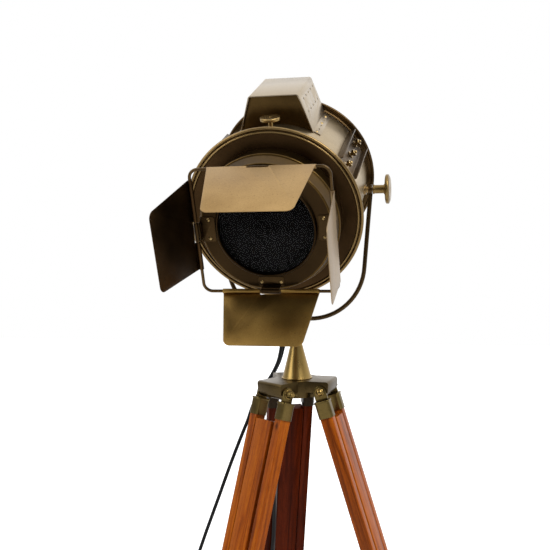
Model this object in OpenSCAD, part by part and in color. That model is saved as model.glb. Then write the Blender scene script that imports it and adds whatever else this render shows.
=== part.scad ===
// Tripod spotlight floor lamp: a brass barrel with barn doors, held in a wire yoke on a wooden tripod.
// Millimetres, +Z up, the floor at Z = 0. The lamp looks along -Y, tilted down.

/* [Whole lamp] */
// Height of the barrel's tilt axis above the floor
pivot_height = 1316; // [1250:1:1450]
// How far the barrel looks down, in degrees
head_tilt = 20.5; // [10:0.5:25]
// Turn of the tripod under the lamp, in degrees
leg_turn = 23.7; // [18:0.1:28]
// Lean of each leg from upright, in degrees
leg_splay = 17; // [14:0.5:20]

/* [Barrel] */
// Height of the barrel's axis above the tilt axis
axis_lift = 20.2; // [18:0.1:22]
// How far the barrel's datum lies ahead of the tilt axis
axis_lead = 28.8; // [26:0.1:32]
// Outer radius of the barrel
barrel_r = 129; // [120:1:134]
// Sheet thickness of the barrel and its caps
sheet = 1.2; // [1:0.1:1.6]
// Outer radius of the front hoop
rim_r = 146.5; // [144:0.5:148]
// Front face of the barrel, ahead of its datum
rim_front = 144; // [140:1:150]
// Outer radius of the back hoop
back_rim_r = 142; // [140:0.5:148]
// Back end of the barrel, behind its datum
barrel_back = 63; // [60:1:68]

/* [Snout and lens] */
// Outer radius of the snout
snout_r = 112; // [108:1:116]
// Front plate of the snout, ahead of the barrel's datum
snout_front = 204; // [199:1:208]
// Radius of the lens
lens_r = 77; // [70:1:80]

/* [Vent hood] */
// Half width of the hood's flat top
hood_half_top = 41.5; // [36:0.5:44]
// Height of the hood's top above the barrel axis
hood_top = 178; // [174:1:188]
// Front edge of the hood, ahead of the barrel's datum
hood_front = 70; // [66:1:82]
// Back edge of the hood, behind the barrel's datum
hood_back = 57.5; // [48:0.5:58]
// How much the hood's sides spread for each millimetre of height
hood_slope = 0.32; // [0.3:0.01:0.38]

/* [Barn doors] */
// Half width of the wire frame that carries the doors
frame_half_w = 110; // [106:1:114]
// Half height of the wire frame
frame_half_h = 103; // [99:1:106]
// Distance of the wire frame ahead of the barrel's datum
frame_front = 216; // [213:1:220]
// Wire radius of the frame
wire_r = 2.5; // [2.3:0.1:2.7]
// Length of the top door
top_door_len = 118; // [100:1:122]
// Length of the bottom door
door_len = 103; // [96:1:106]
// Length of the side doors
side_door_len = 120; // [100:1:124]
// Opening angles of the doors from straight ahead: top, right, bottom, left
door_open = [-15, 2.5, 27.5, 12.5];

/* [Yoke] */
// Half distance between the yoke's eyes
yoke_half = 138; // [137:0.5:146]
// Radius of the yoke's rod
yoke_rod_r = 3.9; // [3.5:0.1:4.2]
// Depth of the yoke below the tilt axis
yoke_drop = 231; // [228:1:240]
// Radius of the tilt knobs
tilt_knob_r = 26; // [22:1:30]

/* [Cone and tripod head] */
// Depth of the tripod head's top below the tilt axis
plate_drop = 340; // [336:1:346]
// Thickness of the tripod head
plate_t = 30; // [28:1:32]
// Radius of the cone's foot
cone_r = 27; // [26:0.5:33]
// Height of the cone
cone_h = 66; // [60:1:68]
// Width of each lobe of the tripod head
lobe_w = 63; // [60:0.5:63]
// Radius of each lobe's rounded nose
nose_r = 18.3; // [16:0.1:19]
// Radius of the knuckle round each hinge bolt
knuckle_r = 12; // [11:0.5:13]

/* [Legs] */
// Distance of each leg's hinge bolt from the centre
bolt_reach = 52.9; // [50:0.1:56]
// Width of each rail, across the leg
rail_w = 17; // [16:0.5:19]
// Depth of each rail
rail_d = 23; // [21:0.5:25]
// Half distance between a leg's two rails
rail_half = 34; // [33.5:0.5:37]
// Width of the lower rail that slides between them
lower_w = 42; // [34:1:44]
// Length of the rails below the hinge bolt
rail_len = 905; // [860:5:920]

/* [Hidden] */
$fn = 64;
eps = 0.01;
fit = 0.05;            // radial clearance of a turning fit
gap = 0.3;             // clearance between parts that turn on each other
centre = [61.85, -20.17, 0];  // middle of the lamp's floor area, seen from the tripod's axis
plate_top = pivot_height - plate_drop;
bolt_z = plate_top - 18.3;
leg_angles = [-150 + leg_turn, -30 + leg_turn, 90 + leg_turn];
lower_shift = [-3.5, 3.5, -3.5];
stud_r = 3;
spindle_r = 6;
bolt_r = 4;
neck_top = plate_top + cone_h + 8;
door_sheet = 1.2;
curl_r = wire_r + 1.35;
slot_half = 23;
corner_r = 14;
barrel_in = barrel_r - sheet;
lug_r = 11.5;
cap_w = rail_w / 2 + 2.2;
cap_d = rail_d / 2 + 2.2;
cap_drop = 15;
cap_h = 31;
lower_top = 52;
cover_in = barrel_back + 16.6;
foot_top = 925;
cord_r = 3.4;
gland_a = [-22, -88];
gland_b = [8, -92];
gland_end = 118;
coil_at = [-330, 160];
coil_in = 31.4;
coil_out = 45;
coil_h = 20.4;
plug_at = [-300, 201.6, 17.6];
switch_at = [-30, 372, 0];

// A point of the barrel's frame, seen from the tripod's axis
function from_head(p) = [
    p[0],
    (p[1] - axis_lead) * cos(head_tilt) - (p[2] + axis_lift) * sin(head_tilt),
    pivot_height + (p[1] - axis_lead) * sin(head_tilt) + (p[2] + axis_lift) * cos(head_tilt)];

// Routes of the free cords, from the glands on the barrel to the floor
supply_route = concat(
    [for (out = [0.05, 6, 18]) from_head([gland_a[0], gland_end + out, gland_a[1]])],
    [[-22.5, 138.5, 1291.3], [-24, 151.5, 1285.3], [-26, 159.8, 1273.5], [-28.5, 161.2, 1259],
    [-30.5, 160.2, 1241], [-33, 156.5, 1218], [-36.5, 150, 1190], [-40, 141, 1155], [-44, 130, 1100],
    [-50, 121, 1045], [-57, 112, 995], [-67, 104, 968], [-79, 97, 948], [-88, 92, 937], [-97.5, 86, 920],
    [-105.5, 80, 902], [-114.5, 76, 875], [-125, 72, 849], [-146.5, 66, 794], [-172.5, 60, 723],
    [-209, 52, 623], [-242, 45, 520], [-272, 38, 414],
    [-301, 30, 310], [-330, 22, 205], [-351, 18, 116], [-366, 20, 52], [-372, 36, 16], [-372, 56, 4],
    [-371.6, 78, 4], [-371.6, 100, 4]]);
switch_route = concat(
    [for (out = [0.05, 6, 18]) from_head([gland_b[0], gland_end + out, gland_b[1]])],
    [[7.5, 140.3, 1287.7], [6, 153.4, 1281.5], [3.5, 161.7, 1269.7], [0.5, 163, 1255.2],
    [-3, 161.8, 1236], [-8, 158, 1212], [-14, 152, 1183], [-22, 146, 1150], [-34, 139, 1095],
    [-45, 130, 1045], [-55, 119.5, 996], [-66, 112.5, 969], [-77, 107, 948], [-84, 100, 924],
    [-88, 86, 892], [-87, 71, 862], [-82, 57.5, 838], [-75.5, 52, 820], [-66.5, 60, 795],
    [-66, 77, 757], [-68, 92, 708], [-80.5, 121, 602], [-100.5, 129.5, 551], [-119.5, 143, 500],
    [-140, 170, 405], [-153, 205, 300], [-166, 238, 200], [-177.5, 265, 105], [-181, 288, 44],
    [-176, 315, 12], [-160, 342, 4], [-125, 364, 4], [-90, 372, 7], [-70, 372, 8], [-58, 372, 8]]);
inner_routes = [
    [[gland_a[0], cover_in - 2.6, gland_a[1]], [-22, 68, -85], [-20, 58, -68], [-12, 54, -48],
    [-3, 55, -32], [0, 55, -19.1]],
    [[gland_b[0], cover_in - 2.6, gland_b[1]], [8, 68, -89], [7, 62, -70], [3, 64, -50],
    [1, 66, -34], [0, 66, -19.1]]];

// ---- frames that the pieces are drawn in ----

module stand() {
    translate(-centre) children();
}

// The tilt axis, turned with the barrel
module tilted() {
    stand() translate([0, 0, pivot_height]) rotate([head_tilt, 0, 0]) children();
}

// The barrel's own frame: origin at the barrel's datum, the barrel's axis along Y
module head() {
    tilted() translate([0, -axis_lead, axis_lift]) children();
}

// The leg's own frame: origin on its hinge bolt, X outward, Z up along the leg
module leg(i) {
    stand() rotate([0, 0, leg_angles[i - 1]]) translate([bolt_reach, 0, bolt_z]) rotate([0, -leg_splay, 0])
        children();
}

// ---- shared shapes ----

// A turned shape: the outline's first value is the radius, the second the place along the barrel
module turned(outline) {
    rotate([-90, 0, 0]) rotate_extrude() polygon(outline);
}

module bead(r, y, bead_r) {
    rotate([-90, 0, 0]) rotate_extrude() translate([r, y]) circle(r = bead_r);
}

module rod(a, b, r) {
    d = b - a;
    translate(a) rotate([0, acos(d[2] / norm(d)), atan2(d[1], d[0])]) cylinder(h = norm(d), r = r);
}

module box(low, high) {
    translate(low) cube(high - low);
}

// A tube swept along a smooth curve through the route's points
function between(p, i, t) =
    let(a = p[max(i - 1, 0)], b = p[i], c = p[i + 1], d = p[min(i + 2, len(p) - 1)])
    0.5 * (2 * b + (c - a) * t + (2 * a - 5 * b + 4 * c - d) * t * t + (3 * b - a - 3 * c + d) * t * t * t);
function curve(p, n) = concat(
    [for (i = [0 : len(p) - 2], k = [0 : n - 1]) between(p, i, k / n)],
    [p[len(p) - 1]]);
function unit(v) = v / norm(v);
function heading(q, i) = unit(q[min(i + 1, len(q) - 1)] - q[max(i - 1, 0)]);
function carry(v, d) = unit(v - (v * d) * d);
function sides_of(q, n) = [for (i = 0, v = carry([0.3, 0.2, 1], heading(q, 0)); i < n; i = i + 1,
    v = i < n ? carry(v, heading(q, i)) : v) v];
module tube(route, r, n, sides) {
    q = curve(route, n);
    rings = len(q);
    u = sides_of(q, rings);
    points = [for (i = [0 : rings - 1], k = [0 : sides - 1])
        q[i] + r * cos(360 * k / sides) * u[i] + r * sin(360 * k / sides) * cross(heading(q, i), u[i])];
    walls = [for (i = [0 : rings - 2], k = [0 : sides - 1])
        let(m = (k + 1) % sides)
        [i * sides + k, (i + 1) * sides + k, (i + 1) * sides + m, i * sides + m]];
    ends = [[for (k = [0 : sides - 1]) k], [for (k = [sides - 1 : -1 : 0]) (rings - 1) * sides + k]];
    polyhedron(points, concat(walls, ends), convexity = 10);
}

// ---- barrel ----

module barrel_shell() {
    color("burlywood") head() difference() {
        turned([[barrel_in, 0.5 - rim_front], [barrel_r, 0.5 - rim_front], [barrel_r, barrel_back],
            [barrel_in, barrel_back]]);
        for (x = [-26, 0, 26]) box([x - 8, -58, 100], [x + 8, 34, 140]);
        translate([0, axis_lead, -axis_lift]) rotate([0, 90, 0])
            cylinder(h = 2 * barrel_r + 10, r = 4, center = true);
        translate([0, -104, 110]) cylinder(h = 30, r = 4 + fit);
    }
}

module front_hoop() {
    color("goldenrod") head() {
        turned([[barrel_r, 0.1 - rim_front], [rim_r - 3, 0.1 - rim_front], [rim_r - 3, 2.1 - rim_front],
            [131, 2.1 - rim_front], [131, 22 - rim_front], [barrel_r, 22 - rim_front]]);
        bead(rim_r - 3, 0.1 - rim_front, 3);
        bead(131, 21.5 - rim_front, 1.4);
    }
}

module face_ring() {
    color("saddlebrown") head() {
        turned([[snout_r, -1.2 - rim_front], [135.7, -1.2 - rim_front], [135.7, -rim_front],
            [barrel_in - 0.1, -rim_front], [barrel_in - 0.1, 16 - rim_front], [124, 16 - rim_front],
            [124, -rim_front], [snout_r, -rim_front]]);
        bead(135.7, -2.6 - rim_front, 2.6);
    }
}

module back_hoop() {
    color("goldenrod") head() {
        turned([[barrel_r, barrel_back - 5], [131, barrel_back - 5], [131, barrel_back - 2],
            [back_rim_r - 3, barrel_back - 2],
            [back_rim_r - 3, barrel_back], [barrel_r, barrel_back]]);
        bead(back_rim_r - 2.8, barrel_back - 1, 2.8);
    }
}

module back_cover() {
    color("burlywood") head() difference() {
        turned([[0, cover_in], [103.5, cover_in], [124.6, barrel_back + 0.5], [124.6, barrel_back - 16],
            [barrel_in, barrel_back - 16], [barrel_in, barrel_back], [barrel_r, barrel_back],
            [barrel_r, barrel_back + 1.4], [126.4, barrel_back + 1.4], [104, cover_in + 1.4],
            [0, cover_in + 1.4]]);
        for (g = [gland_a, gland_b]) translate([g[0], 70, g[1]]) rotate([-90, 0, 0]) cylinder(h = 22, r = 7);
        for (a = [0 : 45 : 315]) rotate([0, a, 0]) box([30, 70, -3], [62, 90, 3]);
    }
}

// ---- snout, lens and what is inside ----

module snout() {
    color("peru") head() {
        turned([[snout_r, 1 - rim_front - 1], [snout_r, 28 - snout_front], [105.5, -snout_front],
            [lens_r + 3.5, -snout_front], [lens_r + 3.5, -snout_front - 6], [lens_r, -snout_front - 6],
            [lens_r, 6 - snout_front], [lens_r + 1.5, 6 - snout_front], [lens_r + 1.5, 1.4 - snout_front],
            [104.4, 1.4 - snout_front], [snout_r - 1.4, 28.2 - snout_front],
            [snout_r - 1.4, 1.2 - rim_front],
            [122, 1.2 - rim_front], [122, -rim_front]]);
        bead(snout_r, 26 - snout_front, 2);
        bead(lens_r + 1.8, -snout_front - 6, 1.8);
    }
}

module lens_glass() {
    color("black") head() turned([[0, -snout_front - 1], [lens_r, -snout_front - 1],
        [lens_r, 2 - snout_front], [0, 2 - snout_front]]);
}

module mesh_screen() {
    color("dimgray") head() turned([[0, 2 - snout_front], [lens_r, 2 - snout_front],
        [lens_r, 3 - snout_front], [0, 3 - snout_front]]);
}

function bowl_y(r) = 32 - 132 * (r / 100) * (r / 100);

module reflector() {
    steps = [for (r = [22 : 6 : 100]) r];
    color("silver") head() turned(concat([for (r = steps) [r, bowl_y(r)]],
        [for (k = [len(steps) - 1 : -1 : 0]) [steps[k], bowl_y(steps[k]) + 1.4]]));
}

module lamp_holder() {
    color("black") head() difference() {
        turned([[0, 10], [19, 10], [19, 20], [22, 20], [22, 40], [19, 44], [19, cover_in],
            [0, cover_in]]);
        turned([[0, 5], [13.5, 5], [13.5, 34], [0, 34]]);
    }
}

module bulb() {
    color("ivory") head() {
        turned([[0, 34], [13.5, 34], [13.5, 6], [16, 4], [20, -8], [0, -8]]);
        translate([0, -30, 0]) sphere(r = 30);
    }
}

module inner_lead() {
    color("black") head() for (route = inner_routes) tube(route, 2.5, 4, 8);
}

// ---- vent hood ----

function hood_half(z) = hood_half_top + (hood_top - z) * hood_slope;

module hood_outline(inset, low) {
    polygon([[-hood_half(low) + inset, low], [-hood_half_top + inset, hood_top - inset],
        [hood_half_top - inset, hood_top - inset], [hood_half(low) - inset, low]]);
}

module along_y(y0, y1) {
    translate([0, y1, 0]) rotate([90, 0, 0]) linear_extrude(y1 - y0) children();
}

module saddle_cut(r) {
    rotate([90, 0, 0]) cylinder(h = 400, r = r, center = true);
}

module chimney_shell() {
    color("wheat") head() {
        difference() {
            along_y(-hood_front, hood_back) difference() {
                hood_outline(0, 100);
                hood_outline(1.7, 98);
            }
            saddle_cut(barrel_r + 1.5);
            for (side = [-1, 1], row = [0, 1], k = [0 : 4])
                translate([side * hood_half(165 - 22 * row), -46 + 22 * k, 165 - 22 * row])
                    rotate([0, side * (90 - atan(hood_slope)), 0]) cylinder(h = 20, r = 1.7, center = true);
        }
        difference() {
            turned([[barrel_r, -66], [barrel_r + 1.5, -66], [barrel_r + 1.5, hood_back - 12],
                [barrel_r, hood_back - 12]]);
            box([-160, -200, -160], [160, 200, 105]);
            for (side = [-1, 1]) rotate([0, side * 34, 0]) box([side > 0 ? 0 : -200, -200, -10],
                [side > 0 ? 200 : 0, 200, 200]);
            box([-hood_half(116) + 1.7, -200, 90], [hood_half(116) - 1.7, 200, 160]);
        }
    }
}

module chimney_panels() {
    color("saddlebrown") head() for (y = [4 - hood_front, hood_back - 5.2])
        difference() {
            along_y(y, y + 1.2) hood_outline(1.7, 100);
            saddle_cut(barrel_r + 0.1);
        }
}

// ---- small trim on the barrel ----

module side_brackets() {
    color("peru") head() for (side = [-1, 1]) rotate([0, side * 61.5, 0]) {
        box([-20, -118, barrel_r], [20, 42, barrel_r + 1.6]);
        for (s = [-1, 1]) box([s * 20 - 1, -118, barrel_r - 1.2], [s * 20 + 1, 42, barrel_r + 14]);
    }
}

module head_screws() {
    color("gold") head() {
        for (side = [-1, 1]) {
            rotate([0, side * 61.5, 0]) for (y = [-88, -30, 32]) translate([0, y, barrel_r + 1.6]) {
                cylinder(h = 10, r = 2.6);
                translate([0, 0, 4]) cylinder(h = 5, r = 5.4);
                translate([0, 0, 10]) sphere(r = 2.6);
            }
            rotate([0, side * 30.5, 0]) for (y = [-60, -8, 34]) translate([0, y, barrel_r + 1.5])
                cylinder(h = 1.6, r = 2.6);
        }
        translate([0, -104, barrel_r]) difference() {
            cylinder(h = 5, r = 7.5);
            translate([0, 0, -1]) cylinder(h = 8, r = 4 + fit);
        }
        for (turn = [0 : 3]) rotate([0, turn * 90, 0]) for (s = [-1, 1])
            translate([s * 15.5, -snout_front - 1.4, lens_r + 15]) rotate([90, 0, 0]) {
                cylinder(h = 1.2, r = 3.2);
                cylinder(h = 2.2, r = 2);
            }
    }
}

module on_tilt_axis() {
    translate([0, axis_lead, -axis_lift]) rotate([0, 90, 0]) children();
}

module tilt_bosses() {
    color("peru") head() for (side = [0, 1]) mirror([side, 0, 0]) {
        intersection() {
            on_tilt_axis() translate([0, 0, 100]) cylinder(h = 40, r = 12);
            turned([[barrel_in - 2.6, 0], [barrel_in, 0], [barrel_in, 60], [barrel_in - 2.6, 60]]);
        }
        difference() {
            on_tilt_axis() translate([0, 0, 110]) cylinder(h = 20.6, r = 9);
            saddle_cut(barrel_r);
        }
        on_tilt_axis() {
            translate([0, 0, 124.6]) cylinder(h = 6, r = 4);
            translate([0, 0, 130.6]) cylinder(h = yoke_half - 134.1, r = 6);
            translate([0, 0, yoke_half - 3.5]) cylinder(h = 33, r = stud_r);
        }
    }
}

module glands() {
    color("black") head() for (g = [gland_a, gland_b]) translate([g[0], 0, g[1]]) rotate([-90, 0, 0]) {
        translate([0, 0, cover_in - 2.6]) cylinder(h = 12, r = 7);
        translate([0, 0, cover_in + 1.4]) cylinder(h = 6, r = 10, $fn = 6);
        translate([0, 0, cover_in + 9.4]) cylinder(h = gland_end - cover_in - 9.4, r1 = 6.4, r2 = 4.4);
    }
}

module top_knob() {
    color("goldenrod") head() translate([0, -104, 0]) {
        translate([0, 0, 122]) cylinder(h = 26, r = 4);
        difference() {
            union() {
                translate([0, 0, 147]) cylinder(h = 2.6, r = 16.4);
                translate([0, 0, 149.6]) cylinder(h = 0.8, r1 = 16.4, r2 = 15);
            }
            translate([0, 0, 152]) sphere(r = 3);
        }
    }
}

// ---- barn doors ----

// Distance of the wire from the barrel's axis on each side: top, right, bottom, left
function holder_at(turn) = turn % 2 == 0 ? frame_half_h : frame_half_w;

module door_frame() {
    w = frame_half_w;
    h = frame_half_h;
    color("peru") head() translate([0, -frame_front, 0]) {
        for (s = [-1, 1]) {
            rod([corner_r - w, 0, s * h], [w - corner_r, 0, s * h], wire_r);
            rod([s * w, 0, corner_r - h], [s * w, 0, h - corner_r], wire_r);
        }
        for (sx = [0, 1], sz = [0, 1]) mirror([sx, 0, 0]) mirror([0, 0, sz])
            translate([w - corner_r, 0, h - corner_r]) rotate([90, 0, 0])
                rotate_extrude(angle = 90) translate([corner_r, 0]) circle(r = wire_r);
    }
}

module door_holders() {
    color("peru") head() for (turn = [0 : 3]) rotate([0, turn * 90, 0]) {
        at = holder_at(turn);
        box([-21, -snout_front - 1.4, lens_r + 5], [21, -snout_front, at - 4]);
        box([-15, -frame_front, at - 5.4], [15, -snout_front, at - 4]);
        translate([0, -frame_front, at]) rotate([0, 90, 0]) difference() {
            cylinder(h = 30, r = 4.1, center = true);
            cylinder(h = 40, r = wire_r, center = true);
        }
    }
}

// Rounded leaf: hinge edge on X, free edge at the far end
function arc(c, r, a0, a1, n) = [for (k = [0 : n])
    let(a = a0 + (a1 - a0) * k / n)
    c + r * [cos(a), sin(a)]];
function mirror_x(p) = [for (k = [len(p) - 1 : -1 : 0]) [-p[k][0], p[k][1]]];
function corner(half, tip, reach, r) =
    let(lean = atan((half - tip) / reach), c = [tip - r * (1 - sin(lean)) / cos(lean), reach - r])
    arc(c, r, lean, 90, 6);
function leaf_outline(half, tip, reach, r) =
    concat([[-half, 0], [half, 0]], corner(half, tip, reach, r), mirror_x(corner(half, tip, reach, r)));

module door_leaf(half, tip, reach, shift) {
    translate([shift, 0, 0]) difference() {
        union() {
            translate([0, 0, wire_r + 0.15]) linear_extrude(door_sheet) leaf_outline_2d(half, tip, reach);
            rotate([0, 90, 0]) cylinder(h = 2 * half, r = curl_r, center = true);
        }
        rotate([0, 90, 0]) cylinder(h = 3 * half, r = wire_r + fit, center = true);
        box([-slot_half - shift, -9, -9], [slot_half - shift, 9, 9]);
    }
}

module leaf_outline_2d(half, tip, reach) {
    polygon(leaf_outline(half, tip, reach, 12));
}

// turn: 0 top, 1 right, 2 bottom, 3 left
module door(turn, half, tip, reach, shift) {
    color(turn == 0 ? "tan" : "peru") head() rotate([0, turn * 90, 0])
        translate([0, -frame_front, holder_at(turn)]) rotate([-door_open[turn], 0, 0]) rotate([0, 0, 180])
            door_leaf(half, tip, reach, shift);
}

module door_top() {
    door(0, 84.5, 67.5, top_door_len, -4.5);
}

module door_bottom() {
    door(2, 79, 62, door_len, 0);
}

module door_left() {
    door(3, 75, 64, side_door_len, -11);
}

module door_right() {
    door(1, 75, 59, side_door_len, -11);
}

// ---- yoke and knobs ----

module yoke() {
    bend_r = 100;
    bend_x = 26;
    bend_z = bend_r - yoke_drop;
    arc_r = yoke_rod_r - 0.1;
    leg_low = [bend_x + bend_r * cos(4.6), 0, bend_z - bend_r * sin(4.6)];
    color("peru") stand() translate([0, 0, pivot_height]) {
        difference() {
            union() {
                rod([-bend_x - 0.4, 0, -yoke_drop], [bend_x + 0.4, 0, -yoke_drop], yoke_rod_r);
                for (s = [0, 1]) mirror([s, 0, 0]) {
                    translate([bend_x, 0, bend_z]) rotate([90, 0, 0]) rotate([0, 0, -90])
                        rotate_extrude(angle = 86) translate([bend_r, 0]) circle(r = arc_r);
                    rod(leg_low, [yoke_half, 0, -7], yoke_rod_r);
                    rotate([0, 90, 0]) translate([0, 0, yoke_half - 3.2]) cylinder(h = 6.4, r = 9);
                }
                translate([0, 0, neck_top + gap - pivot_height]) cylinder(h = 41, r = 11);
            }
            rotate([0, 90, 0]) cylinder(h = 400, r = stud_r + fit, center = true);
            translate([0, 0, neck_top - 1 - pivot_height]) cylinder(h = 31, r = spindle_r);
        }
    }
}

module tilt_knob(side) {
    color("gold") tilted() mirror([side, 0, 0]) rotate([0, 90, 0]) translate([0, 0, yoke_half])
        difference() {
            union() {
                translate([0, 0, 4.6]) cylinder(h = 2.4, r = 8.6);
                translate([0, 0, 7]) cylinder(h = 20, r = 7.6);
                translate([0, 0, 24]) cylinder(h = 3, r = 9.4);
                translate([0, 0, 27]) cylinder(h = 5, r = tilt_knob_r);
                translate([0, 0, 32]) cylinder(h = 3, r1 = tilt_knob_r, r2 = tilt_knob_r - 6);
            }
            translate([0, 0, -5]) cylinder(h = 37.3, r = stud_r + fit);
        }
}

module spindle() {
    color("silver") stand() translate([0, 0, plate_top - 26])
        cylinder(h = neck_top + 56 - plate_top, r = spindle_r);
}

module lock_nut() {
    color("silver") stand() difference() {
        union() {
            translate([0, 0, plate_top - 12 - gap]) cylinder(h = 2, r = 14);
            translate([0, 0, plate_top - 22]) cylinder(h = 10, r = 11, $fn = 6);
        }
        cylinder(h = 2 * plate_top, r = spindle_r);
    }
}

// ---- cone and tripod head ----

module cone() {
    color("burlywood") stand() difference() {
        union() {
            translate([0, 0, plate_top]) cylinder(h = cone_h, r1 = cone_r, r2 = 9.8);
            translate([0, 0, plate_top + cone_h]) cylinder(h = 8, r = 10.4);
        }
        cylinder(h = 2 * plate_top, r = spindle_r + fit);
    }
}

// Side view of a lobe: flat top, rounded nose, and the knuckle round the hinge bolt
module lobe_side() {
    nose_x = bolt_reach - 3;
    translate([0, -20]) square([nose_x, 20]);
    translate([bolt_reach, bolt_z - plate_top]) circle(r = knuckle_r);
    intersection() {
        translate([nose_x, -nose_r - 0.2]) circle(r = nose_r);
        translate([nose_x - 1, -20]) square([40, 20]);
    }
}

module tripod_head() {
    color("tan") stand() difference() {
        union() {
            translate([0, 0, plate_top - plate_t]) cylinder(h = plate_t - 5, r = 36);
            for (a = leg_angles) rotate([0, 0, a]) translate([0, lobe_w / 2, plate_top]) rotate([90, 0, 0])
                linear_extrude(lobe_w) lobe_side();
        }
        translate([0, 0, plate_top - plate_t - 1]) cylinder(h = plate_t - 9, r = 26);
        cylinder(h = 2 * plate_top, r = spindle_r + fit);
        for (a = leg_angles) rotate([0, 0, a]) translate([bolt_reach, 0, bolt_z]) rotate([90, 0, 0])
            cylinder(h = 100, r = bolt_r, center = true);
    }
}

module pivot_bolts() {
    head_at = rail_half + 2 + gap;
    color("gold") stand() for (a = leg_angles) rotate([0, 0, a]) translate([bolt_reach, 0, bolt_z])
        rotate([-90, 0, 0]) {
            translate([0, 0, -head_at - 2]) cylinder(h = 2 * head_at + 12, r = bolt_r);
            translate([0, 0, -head_at - 3]) cylinder(h = 3, r = 8);
            translate([0, 0, -head_at - 5.5]) cylinder(h = 2.5, r1 = 4.5, r2 = 8);
            translate([0, 0, head_at]) cylinder(h = 1.4, r = 9);
        }
}

// ---- legs ----

module leg_rails(i) {
    color("sienna") leg(i) for (s = [-1, 1])
        translate([0, s * rail_half, 0]) box([-rail_d / 2, -rail_w / 2, -rail_len],
            [rail_d / 2, rail_w / 2, -cap_drop - 4]);
}

// Section of a ferrule: a rectangle with rounded corners
module cap_section() {
    r = 6;
    square([2 * cap_d, 2 * cap_w - 2 * r], center = true);
    square([2 * cap_d - 2 * r, 2 * cap_w], center = true);
    for (x = [-1, 1], y = [-1, 1]) translate([x * (cap_d - r), y * (cap_w - r)]) circle(r = r);
}

module leg_caps(i) {
    color("darkgoldenrod") leg(i) difference() {
        for (s = [-1, 1]) translate([0, s * rail_half, 0]) {
            translate([0, 0, -cap_drop - cap_h]) linear_extrude(cap_h) cap_section();
            box([-lug_r, -2, -cap_drop - 1], [lug_r, 2, 0]);
            rotate([90, 0, 0]) cylinder(h = 4, r = lug_r, center = true);
        }
        for (s = [-1, 1]) translate([0, s * rail_half, 0])
            box([-rail_d / 2, -rail_w / 2, -200], [rail_d / 2, rail_w / 2, -cap_drop - 4]);
        rotate([90, 0, 0]) cylinder(h = 200, r = bolt_r + fit, center = true);
    }
}

module leg_lower(i) {
    color("sienna") leg(i) translate([0, lower_shift[i - 1], 0])
        box([0.5 - rail_d / 2, -lower_w / 2, -foot_top - 36], [rail_d / 2 - 0.5, lower_w / 2, -lower_top]);
}

module leg_foot(i) {
    w = lower_w / 2;
    t = rail_d / 2 - 0.5;
    color("goldenrod") difference() {
        leg(i) translate([0, lower_shift[i - 1], 0]) {
            difference() {
                box([-t - 2, -w - 2, -foot_top - 40], [t + 2, w + 2, -foot_top]);
                box([-t, -w, -foot_top - 36], [t, w, -foot_top + 10]);
            }
            translate([0, 0, -foot_top - 90]) cylinder(h = 51, r = 12);
        }
        box([-600, -600, -200], [600, 600, 0]);
    }
}

module leg_clamp(i) {
    w = rail_half + rail_w / 2;
    t = rail_d / 2;
    color("darkgoldenrod") leg(i) difference() {
        union() {
            box([-t - 3, -w - 3, -rail_len], [t + 3, w + 3, 30 - rail_len]);
            translate([t + 3, lower_shift[i - 1], 15 - rail_len]) rotate([0, 90, 0]) cylinder(h = 5, r = 7);
        }
        box([-t, -w, -rail_len - 10], [t, w, 50 - rail_len]);
        translate([0, lower_shift[i - 1], 15 - rail_len]) rotate([0, 90, 0])
            cylinder(h = 40, r = stud_r + fit);
    }
}

module leg_clamp_knob(i) {
    color("gold") leg(i) translate([rail_d / 2, lower_shift[i - 1], 15 - rail_len]) rotate([0, 90, 0]) {
        translate([0, 0, -0.2]) cylinder(h = 15.5, r = stud_r);
        translate([0, 0, 12]) cylinder(h = 4, r = 6);
        translate([0, 0, 16]) cylinder(h = 6, r = 13);
    }
}

module leg_wing(i) {
    color("gold") stand() rotate([0, 0, leg_angles[i - 1]]) translate([bolt_reach, 0, bolt_z])
        rotate([-90, 0, 0]) translate([0, 0, rail_half + 2 + gap + 1.4 + gap]) difference() {
            union() {
                cylinder(h = 8, r1 = 7.4, r2 = 6);
                for (s = [-1, 1]) translate([s * 7.4, 0, 6.4]) rotate([90, 0, 0])
                    cylinder(h = 2.6, r = 4.6, center = true);
            }
            translate([0, 0, -1]) cylinder(h = 30, r = bolt_r + fit);
        }
}

// ---- cords, plug and switch ----

module cord_supply() {
    color("black") stand() tube(supply_route, cord_r, 3, 10);
}

module cord_switch() {
    color("black") stand() tube(switch_route, cord_r, 3, 10);
}

module cord_coil() {
    turn_r = coil_out - cord_r;
    color("black") stand() translate([coil_at[0], coil_at[1], 0.6]) {
        rotate_extrude() translate([coil_in, 0]) square([coil_out - coil_in, coil_h]);
        translate([-turn_r, 0, cord_r]) rotate([90, 0, 0]) cylinder(h = 60, r = cord_r);
        translate([0, turn_r, coil_h - cord_r]) rotate([0, 90, 0]) cylinder(h = 30, r = cord_r);
    }
}

module plug() {
    color("black") stand() translate(plug_at) {
        rotate([0, 90, 0]) cylinder(h = 32, r1 = 4.2, r2 = 8);
        translate([32, 0, 0]) rotate([0, 90, 0]) cylinder(h = 34, r = 17);
        for (s = [-1, 1]) translate([66, 9.5 * s, 0]) rotate([0, 90, 0]) cylinder(h = 19, r = 2.2);
    }
}

module foot_switch() {
    color("black") stand() translate(switch_at) difference() {
        union() {
            box([-26, -26, 0], [40, 26, 20]);
            translate([-28, 0, 8]) rotate([0, 90, 0]) cylinder(h = 8, r = 5);
        }
        translate([8, 0, 12]) cylinder(h = 20, r = 15 + fit);
    }
}

module foot_button() {
    color("dimgray") stand() translate(switch_at) translate([8, 0, 16]) cylinder(h = 9, r = 15);
}

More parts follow.
